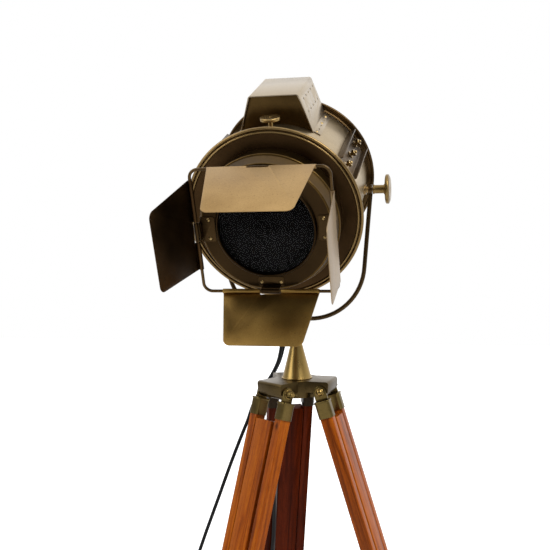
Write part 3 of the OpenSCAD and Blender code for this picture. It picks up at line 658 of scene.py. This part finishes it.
# A band round the drum, a step, and a flange with a rolled edge
Shape(HEAD).lathe(
    [(SEAT_R, -121.5)] + arc(131.2, -122.9, 1.4, 90, -90, 6) + [(131, -125)]
    + arc(132.5, RIM + 3.6, 1.5, 180, 270, 4) + [(140.7, RIM + 2.1)]
    + arc(143.5, RIM + 0.1, 3, 138, -160, 18) + [(140, RIM + 0.1), (SEAT_R, RIM + 0.1)],
    ALONG, ROUND).done("front_hoop_rolled", rim_brass, "head", "brass_polished", "front_hoop")

# The plate inside the hoop, dark partly for its antique finish and partly as painted dark reflection, with a
# sleeve that goes back into the drum
Shape(HEAD).lathe(
    [(112.1, RIM - 1.2), (FACE_R, RIM - 1.2), (FACE_R, RIM), (BARREL_IN - 0.1, RIM),
     (BARREL_IN - 0.1, RIM + 16), (124, RIM + 16), (124, RIM), (112.1, RIM)],
    ALONG, ROUND).done("face_plate", face_finish_and_reflection_brass, "head", "brass_dark", "face_ring")

Shape(HEAD).lathe(arc(BEAD_AT, RIM - 1.7, BEAD_R, 0, 345, 23), ALONG, ROUND).done(
    "face_bead", rim_brass, "head", "brass_polished")

# The snout's side has a raised ring half way and narrows from there, and its plate has a lip round the lens
SNOUT_R = 112.0
SNOUT_FRONT = -204.0
LENS_R = 77.0
PLATE_EDGE = 103.2
PLATE_BACK = -202.6
Shape(HEAD).lathe(
    [(SNOUT_R, RIM), (SNOUT_R, -173)] + arc(SNOUT_R, -178, 2.2, 100, -100, 10)
    + [(111.2, -181.5), (106.4, -201)] + arc(104.2, -201.8, 2.2, 0, -90, 5)[1:]
    + [(PLATE_EDGE, SNOUT_FRONT), (PLATE_EDGE, PLATE_BACK), (104.6, -202.4), (110.6, -176),
       (110.6, RIM + 1.2), (122, RIM + 1.2), (122, RIM)],
    ALONG, ROUND).done("snout_side", snout_brass, "head", "brass_antique", "snout")
# The snout's plate, in brass painted dark as shade
Shape(HEAD).lathe(
    [(PLATE_EDGE, SNOUT_FRONT + 0.05), (83.5, SNOUT_FRONT + 0.05)]
    + arc(82.3, SNOUT_FRONT - 1.8, 1.8, 90, 180, 4)
    + [(80.5, -208)] + arc(78.9, -209.6, 1.8, 10, -190, 12)
    + [(LENS_R, -207), (LENS_R, -198), (78.5, -198), (78.5, PLATE_BACK), (PLATE_EDGE, PLATE_BACK)],
    ALONG, ROUND).done("snout_plate", snout_plate_shade_brass, "head", "brass_antique")

# The same rolled edge at the back, in the darker brass that paints its shade
Shape(HEAD).lathe(
    [(SEAT_R, BARREL_BACK - 5), (130.6, BARREL_BACK - 5), (131, BARREL_BACK - 4.6), (131, BARREL_BACK - 3)]
    + [(132, BARREL_BACK - 2), (137, BARREL_BACK - 2)] + arc(139.2, BARREL_BACK - 1, 2.8, 150, -150, 16)
    + [(136.5, BARREL_BACK), (SEAT_R, BARREL_BACK)],
    ALONG, ROUND).done("back_hoop_rolled", shade_brass, "head", "brass_polished", "back_hoop")


# ---------------------------------------------------------------- vent hood
HOOD_TOP = 178.0
HOOD_HALF = 41.5
HOOD_SLOPE = 0.32
HOOD_FRONT = -70.0
HOOD_BACK = 57.5
HOOD_SHEET = 1.7
FOOT_R = BARREL_R + 0.2  # where the hood's sides end above the drum


def hood_half(z):
    """Half the hood's width at the height z."""
    return HOOD_HALF + (HOOD_TOP - z) * HOOD_SLOPE


def hood_foot(r, inset):
    """Where the hood's side meets a circle of radius r round the barrel's axis."""
    z = 110.0
    for _ in range(30):
        z = math.sqrt(r * r - (hood_half(z) - inset) ** 2)
    return hood_half(z) - inset, z


def hood_line(inset, r):
    """The hood's outline, its sides ending on a circle of radius r."""
    x, z = hood_foot(r, inset)
    top = HOOD_TOP - inset
    corner = max(1.0, 5.0 - inset)
    line = [(-x, z), (-HOOD_HALF + inset, top), (HOOD_HALF - inset, top), (x, z)]
    return rounded(line, [0, corner, corner, 0], 6)


def to_y(outline, y):
    """An outline of (x, z) set at one y."""
    return [(x, y, z) for x, z in outline]


# A folded sheet with ten holes in each side
hood = Shape(HEAD)
section = hood_line(0.0, FOOT_R) + hood_line(HOOD_SHEET, FOOT_R)[::-1]
hood.skin([hood.ring(to_y(section, y)) for y in (HOOD_FRONT, HOOD_BACK)])
holes = Shape(HEAD)
side_lean = math.degrees(math.atan(HOOD_SLOPE))
for s in (-1, 1):
    for z in (165, 143):
        for y in (-46, -24, -2, 20, 42):
            m = at(s * hood_half(z), y, z) @ spin(s * (90 - side_lean), "Y")
            holes.prism(arc(0, 0, 1.9, 0, 345, 15), -8, 8, m)
hood.cut(holes)
hood.done("hood_shell", hood_brass, "head", "brass_antique", "chimney_shell", bevel=0.45, steps=2)

# The hood's foot: a narrow flange that follows the barrel on each side, from the hood to 34 degrees
flange = Shape(HEAD)
LAID_R = BARREL_R + 1.6  # outside of the sheets that lie on the drum
foot_x, foot_z = hood_foot(LAID_R, 0.0)
inner_edge = math.degrees(math.atan2(foot_x, foot_z)) - 1.2
sweep = [math.radians(inner_edge + (34 - inner_edge) * k / 10) for k in range(11)]
for s in (-1, 1):
    flange_line = [(LAID_R, a) for a in sweep] + [(SEAT_R, a) for a in sweep[::-1]]
    flange.skin([
        flange.ring([(s * r * math.sin(a), y, r * math.cos(a)) for r, a in flange_line])
        for y in (-66.0, HOOD_BACK - 12)])
slots = Shape(HEAD)
for s in (-1, 1):
    for y in (-45, -24, 8, 22):
        m = spin(s * 31.0, "Y") @ at(0, y, BARREL_R)
        slots.prism(rounded([(-1.2, -5), (1.2, -5), (1.2, 5), (-1.2, 5)], 1.1, 3), 0.6, 6, m)
flange.cut(slots)
flange.done("hood_flange", hood_brass, "head", "brass_antique", bevel=0.35, steps=2)

# An end panel's foot follows the drum
panel_foot = [math.radians(a) for a in range(20, -24, -4)]
end_panel = hood_line(HOOD_SHEET + 0.02, FOOT_R)
end_panel += [(FOOT_R * math.sin(a), FOOT_R * math.cos(a)) for a in panel_foot]
panels = Shape(HEAD)
for y in (HOOD_FRONT + 4, HOOD_BACK - 5.2):
    panels.skin([panels.ring(to_y(end_panel, v)) for v in (y, y + 1.2)])
# The end panels take the brass painted dark for their shade
panels.done("hood_ends", hood_end_shade_brass, "head", "brass_dark", "chimney_panels", bevel=0.3, steps=2)


# ---------------------------------------------------------------- trim on the barrel
def dome(shape, m, r, h, collar=0.0):
    """A domed rivet or bolt head standing on the frame m."""
    big = (r * r + h * h) / (2 * h)
    top = [(big * math.sin(t), h - big + big * math.cos(t)) for t in
           (math.asin(r / big) * (1 - k / 6) for k in range(7))]
    out = [(0, -0.6)]
    if collar:
        out += [(r + collar, -0.6), (r + collar, 0.35), (r + collar * 0.7, 0.7), (r, 0.7)]
        top = [(a, b + 0.7) for a, b in top]
    else:
        out += [(r, -0.6)]
    top[-1] = (0, top[-1][1])
    shape.solid(out + top, m, 24)


# Two long channels on the drum's shoulders
CHANNEL_AT = 61.5  # degrees down from the top, on both sides
WALL_OUT, WALL_IN, WALL_TOP = 21, 19.4, BARREL_R + 14
channel = rounded([
    (-WALL_OUT, BARREL_R - 1), (-WALL_OUT, WALL_TOP), (-WALL_IN, WALL_TOP), (-WALL_IN, LAID_R),
    (WALL_IN, LAID_R), (WALL_IN, WALL_TOP), (WALL_OUT, WALL_TOP), (WALL_OUT, BARREL_R - 1)],
    [0, 0.6, 0.6, 2.0, 2.0, 0.6, 0.6, 0], 4)
channels = Shape(HEAD)
for s in (-1, 1):
    m = spin(s * CHANNEL_AT, "Y")
    channels.skin([channels.ring([(x, y, z) for x, z in channel], m) for y in (-118, 42)])
channels.done("side_channels", shade_brass, "head", "brass_antique", "side_brackets", bevel=0.35, steps=2)

# The channels' studs with a washer, a nut and a rounded end, the rivets, and the collar under the top knob
stud_profile = [(0, -0.5), (6.4, -0.5), (6.4, 0.9), (5.9, 1.2), (2.6, 1.2), (2.6, 4), (5.0, 4), (5.4, 4.4),
                (5.4, 8.6), (5.0, 9), (2.6, 9)] + arc(0, 10, 2.6, 0, 90, 6)[:-1] + [(0, 12.6)]
KNOB_Y = -104
collar = rounded([(4.05, 0), (7.5, 0), (7.5, 5), (4.05, 5)], [0, 0, 1.2, 0.5], 4)
studs = Shape(HEAD)
for s in (-1, 1):
    for y in (-88, -30, 32):
        studs.solid(stud_profile, spin(s * CHANNEL_AT, "Y") @ at(0, y, LAID_R), 32)
    for y in (-60, -8, 34):
        dome(studs, spin(s * 30.5, "Y") @ at(0, y, LAID_R), 2.8, 1.5)
studs.lathe(collar, at(0, KNOB_Y, BARREL_R), 48)
for q in range(4):
    for s in (-1, 1):
        m = spin(90 * q, "Y") @ at(s * 15.5, SNOUT_FRONT - 1.4, LENS_R + 15) @ spin(90, "X")
        dome(studs, m, 3.0, 1.7)
studs.done("studs_and_rivets", rivet_brass, "head", "brass_polished", "head_screws")

# The knob's screw goes into the drum, and its disc has a dimple in the middle
disc = rounded([(4, 146), (16.4, 146), (16.4, 151.2), (1.8, 151.2)], [0.2, 0.8, 0.9, 0.4], 5)
knob = Shape(HEAD)
knob.solid([(0, 122), (4, 122), (4, 147)] + disc[1:] + [(1.2, 150.8), (0, 150.7)], at(0, KNOB_Y, 0), 64)
knob.done("top_knob_turned", polished, "top_knob", "brass_polished", "top_knob")

# ---------------------------------------------------------------- door frame and doors
WIRE_R = 2.5
HALF_W = 110.0
HALF_H = 103.0
FRAME_Y = -216.0
CORNER = 14.0
DOOR_OPEN = (-15.0, 2.5, 27.5, 12.5)
CURL_R = WIRE_R + 1.35
SLOT_HALF = 17.5

loop = rounded([(-HALF_W, -HALF_H), (HALF_W, -HALF_H), (HALF_W, HALF_H), (-HALF_W, HALF_H)], CORNER, 10)
Shape(HEAD).tube([(x, FRAME_Y, z) for x, z in loop], WIRE_R, 20, loop=True).done(
    "door_wire", shade_brass, "head", "brass_antique", "door_frame")


def holder_at(q):
    """How far the wire's side q is from the middle. The sides go round from the top."""
    return HALF_H if q % 2 == 0 else HALF_W


# A plate on the snout, a shelf forward to the wire and a barrel round it
holders = Shape(HEAD)
HOLDER_HALF = 15
wire_barrel = rounded([
    (WIRE_R + 0.02, -HOLDER_HALF), (3.7, -HOLDER_HALF), (3.7, HOLDER_HALF), (WIRE_R + 0.02, HOLDER_HALF)],
    [0, 0.5, 0.5, 0], 3)
for q in range(4):
    m = spin(90 * q, "Y")
    top = holder_at(q)
    low = LENS_R + 5.4
    plate = rounded([(-21, low), (21, low), (21, top - 4), (-21, top - 4)], [4, 4, 1.5, 1.5], 4)
    holders.skin([
        holders.ring([(x, y, z) for x, z in plate], m) for y in (SNOUT_FRONT - 1.4, SNOUT_FRONT - 0.02)])
    holders.box((-HOLDER_HALF, FRAME_Y, top - 5.4), (HOLDER_HALF, SNOUT_FRONT - 0.5, top - 4), m)
    holders.lathe(wire_barrel, m @ at(0, FRAME_Y, top) @ SIDEWAYS, 32)
holders.done("door_brackets", bracket_brass, "head", "brass_antique", "door_holders", bevel=0.4, steps=2)


def door(q, body, name, half, tip, reach, shift, mat):
    """A tapered leaf with rounded far corners, rolled round the wire at its hinge edge.

    half and tip are half its width at the hinge and at the far edge, and reach is its height.
    """
    m = (spin(90 * q, "Y") @ at(0, FRAME_Y, holder_at(q)) @ spin(-DOOR_OPEN[q], "X") @ spin(180, "Z")
         @ at(shift, 0, 0))
    low = WIRE_R + 0.15
    notch = (-SLOT_HALF - shift, SLOT_HALF - shift)
    notch_top = 4.6
    s = Shape(HEAD)
    outline = rounded([
        (-half, 0), (notch[0], 0), (notch[0], notch_top), (notch[1], notch_top), (notch[1], 0), (half, 0),
        (tip, reach), (-tip, reach)],
        [0, 0, 1.5, 1.5, 0, 0, 12, 12], 8)
    s.prism(outline, low, low + 1.2, m)
    curl_outer = arc(0, 0, CURL_R, 90, 380, 26)
    curl_inner = arc(0, 0, low, 380, 90, 26)
    for a, b in ((-half, notch[0]), (notch[1], half)):
        s.skin([s.ring([(x, -c, d) for c, d in curl_outer + curl_inner], m) for x in (a, b)])
    return s.done(name, mat, body, "brass_antique", body, bevel=0.35, steps=2)


# Each leaf's brass is painted for the light on it: painted reflection on the top and right leaves, painted
# light on the bottom one, painted shade on the left one
door(0, "door_top", "leaf_top", 84.5, 67.5, 118, -4.5, top_leaf_reflection_brass)
door(1, "door_right", "leaf_right", 75, 59, 120, -11, right_leaf_reflection_brass)
door(2, "door_bottom", "leaf_bottom", 79, 62, 103, 0, bottom_leaf_light_brass)
door(3, "door_left", "leaf_left", 75, 64, 120, -11, left_leaf_shade_brass)

# ---------------------------------------------------------------- yoke and tilt knobs
YOKE_HALF = 138.0
YOKE_DROP = 231.0
BEND_R = 100.0
BEND_X = 26.0
ROD_R = 3.9
NECK_TOP = PLATE_TOP + 74.0
YOKE = STAND @ Matrix.Translation(PIVOT)


def yoke_side(s):
    """Half of the rod: its bend under the head, then straight up to the eye on the tilt axis."""
    bend = [(BEND_X + BEND_R * math.sin(a), 0, BEND_R - YOKE_DROP - BEND_R * math.cos(a))
            for a in (math.radians(86 * k / 16) for k in range(17))]
    low, high = Vector(bend[-1]), Vector((YOKE_HALF, 0, -7))
    path = [Vector(p) for p in bend] + [low + (high - low) * k / 6 for k in range(1, 7)]
    return [Vector((s * p.x, p.y, p.z)) for p in path]


yoke = Shape(YOKE)
yoke.tube(yoke_side(-1)[::-1] + yoke_side(1), ROD_R, 24)
for s in (-1, 1):
    yoke.lathe(rounded([(3.05, -3.2), (9, -3.2), (9, 3.2), (3.05, 3.2)], [0.4, 1.0, 1.0, 0.4], 4),
               at(s * YOKE_HALF, 0, 0) @ SIDEWAYS, 48)
neck = NECK_TOP + 0.3 - PIVOT.z / MM
yoke.lathe(rounded([(6.05, neck), (11, neck), (11, neck + 41), (6.05, neck + 41)], [0.4, 1.2, 2.5, 0.5], 5),
           None, 64)
yoke.done("yoke_rod", rod_brass, "yoke_body", "brass_antique", "yoke")

# Knobs with a collar, a waist and a mushroom's cap
for body, s in (("tilt_knob_right", 1), ("tilt_knob_left", -1)):
    turned = Shape(TILTED)
    profile = rounded([
        (3.05, 4.6), (8.6, 4.6), (8.6, 7), (7.6, 7), (7.6, 24), (9.4, 24), (9.4, 27), (26, 27), (26, 32.5),
        (20, 35), (3.05, 34)],
        [0.3, 0.6, 0.5, 0.3, 0.3, 0.6, 0.6, 2.0, 2.0, 2.0, 1.5], 5)
    turned.solid([(0, 31.8), (3.05, 31.8)] + profile + [(2, 34.2), (0, 34.2)],
                 (spin(180, "Z") if s < 0 else Matrix()) @ at(YOKE_HALF, 0, 0) @ SIDEWAYS, 96)
    turned.done(body + "_turned", knob_brass, body, "brass_polished", body)

# ---------------------------------------------------------------- cone and tripod head
CONE_R = 27.0
Shape(STAND).lathe(
    rounded([
        (6.05, 0), (CONE_R + 1.2, 0), (CONE_R + 1.2, 2.0), (CONE_R - 0.9, 2.4), (9.8, 66), (10.4, 66.4),
        (10.4, 74), (6.05, 74)], [0, 0.8, 0.8, 0.5, 0.4, 0.3, 0.9, 0.3], 4),
    at(0, 0, PLATE_TOP), 128).done("cone_turned", stand_brass, "stand", "brass_polished", "cone")

NOSE = 68.0  # how far a lobe reaches
# A lobe seen from its side, with a round hollow under it for the hinge
lobe = (
    [(0, -20), (0, 0), (NOSE - 5, 0)] + arc(NOSE - 5, -5, 5, 90, 0, 6)[1:]
    + [(NOSE - 1, -19), (NOSE - 3.5, -20)] + arc(BOLT_REACH, BOLT_Z - PLATE_TOP, 12, -8, -172, 12)
    + [(38, -20)])
# A turned block open from below, joined with three lobes, then cleared for the lock nut and the spindle
head_block = Shape(STAND)
head_block.lathe(
    rounded([(26, -30), (41, -30), (41, 0), (6.05, 0), (6.05, -9), (26, -9)], 0.0), at(0, 0, PLATE_TOP), 96)
lobes = []
for a in LEG_ANGLES:
    one = Shape(STAND)
    m = Matrix.Rotation(a, 4, "Z") @ at(0, 0, PLATE_TOP)
    one.skin([one.ring([(x, y, z) for x, z in lobe], m) for y in (-31.5, 31.5)])
    lobes.append(one)
core = Shape(STAND).prism(arc(0, 0, 25.9, 0, 352, 47), PLATE_TOP - 40, PLATE_TOP - 9)
hole = Shape(STAND).prism(arc(0, 0, 6.06, 0, 352, 47), PLATE_TOP - 60, PLATE_TOP + 10)
head_block.cut(*lobes, operation="UNION")
head_block.cut(core, hole)
head_block.done("tripod_casting", cast_brass, "stand", "brass_polished", "tripod_head", bevel=1.8, steps=3)

RAIL_HALF = 34.0
RAIL_W = 17.0
RAIL_D = 23.0
RAIL_LEN = 905.0
LOWER_W = 42.0
FOOT_TOP = 925.0
WASHER = 1.4
head_at = RAIL_HALF + 2.3  # where a bolt's head and washer bear, just past the ferrules' lugs
washer = rounded([
    (4, head_at), (9, head_at), (9, head_at + WASHER), (4, head_at + WASHER)], [0, 0.3, 0.5, 0], 3)
bolts = Shape(STAND)
for a in LEG_ANGLES:
    m = Matrix.Rotation(a, 4, "Z") @ at(BOLT_REACH, 0, BOLT_Z) @ spin(-90, "X")
    bolts.solid([(0, -head_at - 1), (4, -head_at - 1), (4, head_at + 10.8), (3.2, head_at + 12),
                 (0, head_at + 12)], m, 32)
    dome(bolts, m @ at(0, 0, -head_at - 0.4) @ spin(180, "X"), 6.6, 4.4, 1.4)
    bolts.lathe(washer, m, 40)
bolts.done("hinge_bolts", stand_brass, "stand", "brass_polished", "pivot_bolts")

# ---------------------------------------------------------------- legs
CAP_W = RAIL_W / 2 + 2.2
CAP_D = RAIL_D / 2 + 2.2
CAP_DROP = 15.0
CAP_H = 31.0
LUG_R = 11.5
RAIL_TOP = -CAP_DROP - 4
LOWER_TOP = -52.0
LOWER_GAP = 0.5
SLEEVE_IN = 36.0  # how far the sliding rail stands in its foot


def rect(x, y, radius):
    """A rectangle's outline round the middle, by its half sizes, with rounded corners."""
    return rounded([(-x, -y), (x, -y), (x, y), (-x, y)], radius, 6)


lug = (
    [(-LUG_R, -CAP_DROP - 1), (-LUG_R, 0)] + arc(0, 0, LUG_R, 180, 0, 20)[1:-1]
    + [(LUG_R, 0), (LUG_R, -CAP_DROP - 1)])
wing_boss = rounded([(4.05, 0), (7.4, 0), (6, 8), (4.05, 8)], [0, 0.6, 1.4, 0.3], 4)
ear = rounded([(3.6, 1.6), (8.4, 2.6), (12, 8.4), (9.2, 10.9), (5.2, 7.2)], [0, 1.8, 2.0, 2.0, 1.6], 5)
# Heights down a ferrule, each with how far its wall stands out there
CAP_LEVELS = [
    (-CAP_DROP - CAP_H, 0.0), (-CAP_DROP - 3.6, 0.0), (-CAP_DROP - 3.0, 0.9), (-CAP_DROP - 0.8, 0.9),
    (-CAP_DROP, 0.1)]

# Each leg has two side rails, the rail that slides between them, two ferrules with lugs, and a wing nut
for i in (1, 2, 3):
    place = LEG[i - 1]
    body = f"leg{i}"
    # The rear leg's metal is painted darker, as shade
    metal = rear_leg_shade_brass if i == 3 else cap_brass
    rails = Shape(place)
    for s in (-1, 1):
        rails.box((-RAIL_D / 2, s * RAIL_HALF - RAIL_W / 2, -RAIL_LEN),
                  (RAIL_D / 2, s * RAIL_HALF + RAIL_W / 2, RAIL_TOP))
    rails.done(f"leg{i}_side_rails", woods[i - 1], body, "wood_honey", f"leg{i}_rails", bevel=1.6)
    lower = Shape(place)
    y = LOWER_SHIFT[i - 1]
    lower.box((LOWER_GAP - RAIL_D / 2, y - LOWER_W / 2, -FOOT_TOP - SLEEVE_IN),
              (RAIL_D / 2 - LOWER_GAP, y + LOWER_W / 2, LOWER_TOP))
    lower.done(f"leg{i}_sliding_rail", woods[i - 1], f"leg{i}_slider", "wood_honey", f"leg{i}_lower",
               bevel=1.6)
    caps = Shape(place)
    for s in (-1, 1):
        m = at(0, s * RAIL_HALF, 0)
        outs = [
            caps.ring([(*p, z) for p in rect(CAP_D + out, CAP_W + out, 6)], m) for z, out in CAP_LEVELS]
        inside = [
            caps.ring([(*p, z) for p in rect(RAIL_D / 2 + 0.03, RAIL_W / 2 + 0.03, 1.6)], m)
            for z in (RAIL_TOP, -CAP_DROP - CAP_H)]
        caps.skin(inside + outs, caps=False)
        caps.bm.faces.new(outs[-1])
        caps.bm.faces.new(inside[0])
        caps.skin([caps.ring([(x, s * RAIL_HALF + w, z) for x, z in lug]) for w in (-2, 2)])
    caps.done(f"leg{i}_ferrules", metal, body, "brass_polished", f"leg{i}_caps", bevel=0.4, steps=2)
    wing = Shape(HINGE[i - 1])
    m = spin(-90, "X") @ at(0, 0, head_at + WASHER + 0.3)
    wing.lathe(wing_boss, m, 40)
    for s in (-1, 1):
        wing.prism(ear, -1.4, 1.4, m @ (spin(180, "Z") if s < 0 else Matrix()) @ spin(90, "X"))
    wing.done(f"leg{i}_wing_nut", metal, f"leg{i}_wing", "brass_polished", f"leg{i}_wing", bevel=0.5,
              steps=2)

# ---------------------------------------------------------------- CAD nodes that keep their shape
for name in ("back_cover", "tilt_bosses"):
    paint(name, antique)
paint("spindle", steel)
paint("lock_nut", steel)
paint("reflector", shiny)
paint("lens_glass", lens_glass.mat)
paint("mesh_screen", mesh_black)
paint("bulb", frosted)
for name in ("lamp_holder", "plug", "foot_switch", "foot_button", "glands"):
    paint(name, black_plastic)
paint("inner_lead", black_cord)
for i in (1, 2, 3):
    for part in ("clamp", "foot", "clamp_knob"):
        paint(f"leg{i}_{part}", stand_brass)

# ---------------------------------------------------------------- floor, lights, world
bpy.ops.mesh.primitive_plane_add(size=14, location=(0, 0, 0))
floor = bpy.context.object
floor.name = "floor"
fn = Nodes("pale_floor")
fn.set(Base_Color=(0.80, 0.80, 0.80, 1), Roughness=0.9)
glow = fn.add("Emission")
glow.inputs["Strength"].default_value = 0.62
seen = fn.add("LightPath")
none = fn.add("Emission")
none.inputs["Strength"].default_value = 0.0
for_camera = fn.add("MixShader")
fn.link(seen, "Is Camera Ray", for_camera, 0)
fn.tree.links.new(none.outputs[0], for_camera.inputs[1])
fn.tree.links.new(glow.outputs[0], for_camera.inputs[2])
total = fn.add("AddShader")
fn.tree.links.new(fn.bsdf.outputs[0], total.inputs[0])
fn.tree.links.new(for_camera.outputs[0], total.inputs[1])
fn.tree.links.new(total.outputs[0], fn.out.inputs["Surface"])
floor.data.materials.append(fn.mat)

world = bpy.data.worlds.new("world")
bpy.context.scene.world = world
world.use_nodes = True
wt = world.node_tree
background = wt.nodes["Background"]
background.inputs["Color"].default_value = (1, 1, 1, 1)
# A studio that is brightest overhead and behind the lamp
direction = wt.nodes.new("ShaderNodeTexCoord")
lean = wt.nodes.new("ShaderNodeVectorMath")
lean.operation = "DOT_PRODUCT"
lean.inputs[1].default_value = (0.08, 0.62, 0.74)
level_map = wt.nodes.new("ShaderNodeMapRange")
level_map.interpolation_type = "SMOOTHSTEP"
for key, value in (("From Min", -0.35), ("From Max", 0.75), ("To Min", 0.16), ("To Max", 1.35)):
    level_map.inputs[key].default_value = value
wt.links.new(direction.outputs["Generated"], lean.inputs[0])
wt.links.new(lean.outputs["Value"], level_map.inputs["Value"])
wt.links.new(level_map.outputs["Result"], background.inputs["Strength"])
white = wt.nodes.new("ShaderNodeBackground")
white.inputs["Color"].default_value = (1, 1, 1, 1)
white.inputs["Strength"].default_value = 1.0
paths = wt.nodes.new("ShaderNodeLightPath")
pick = wt.nodes.new("ShaderNodeMixShader")
wt.links.new(paths.outputs["Is Camera Ray"], pick.inputs[0])
wt.links.new(background.outputs[0], pick.inputs[1])
wt.links.new(white.outputs[0], pick.inputs[2])
wt.links.new(pick.outputs[0], wt.nodes["World Output"].inputs["Surface"])


def area(name, location, target, size, power):
    data = bpy.data.lights.new(name, "AREA")
    data.shape = "RECTANGLE"
    data.size, data.size_y = size
    data.energy = power
    ob = bpy.data.objects.new(name, data)
    bpy.context.scene.collection.objects.link(ob)
    ob.location = location
    ob.rotation_euler = (Vector(target) - Vector(location)).to_track_quat("-Z", "Y").to_euler()
    return ob


area("key", (1.5, -1.3, 3.0), (0, 0, 1.2), (1.4, 1.4), 55)
area("fill", (-1.8, -1.4, 2.2), (0, 0, 1.1), (1.2, 1.6), 22)

bpy.context.scene.view_settings.view_transform = "Standard"
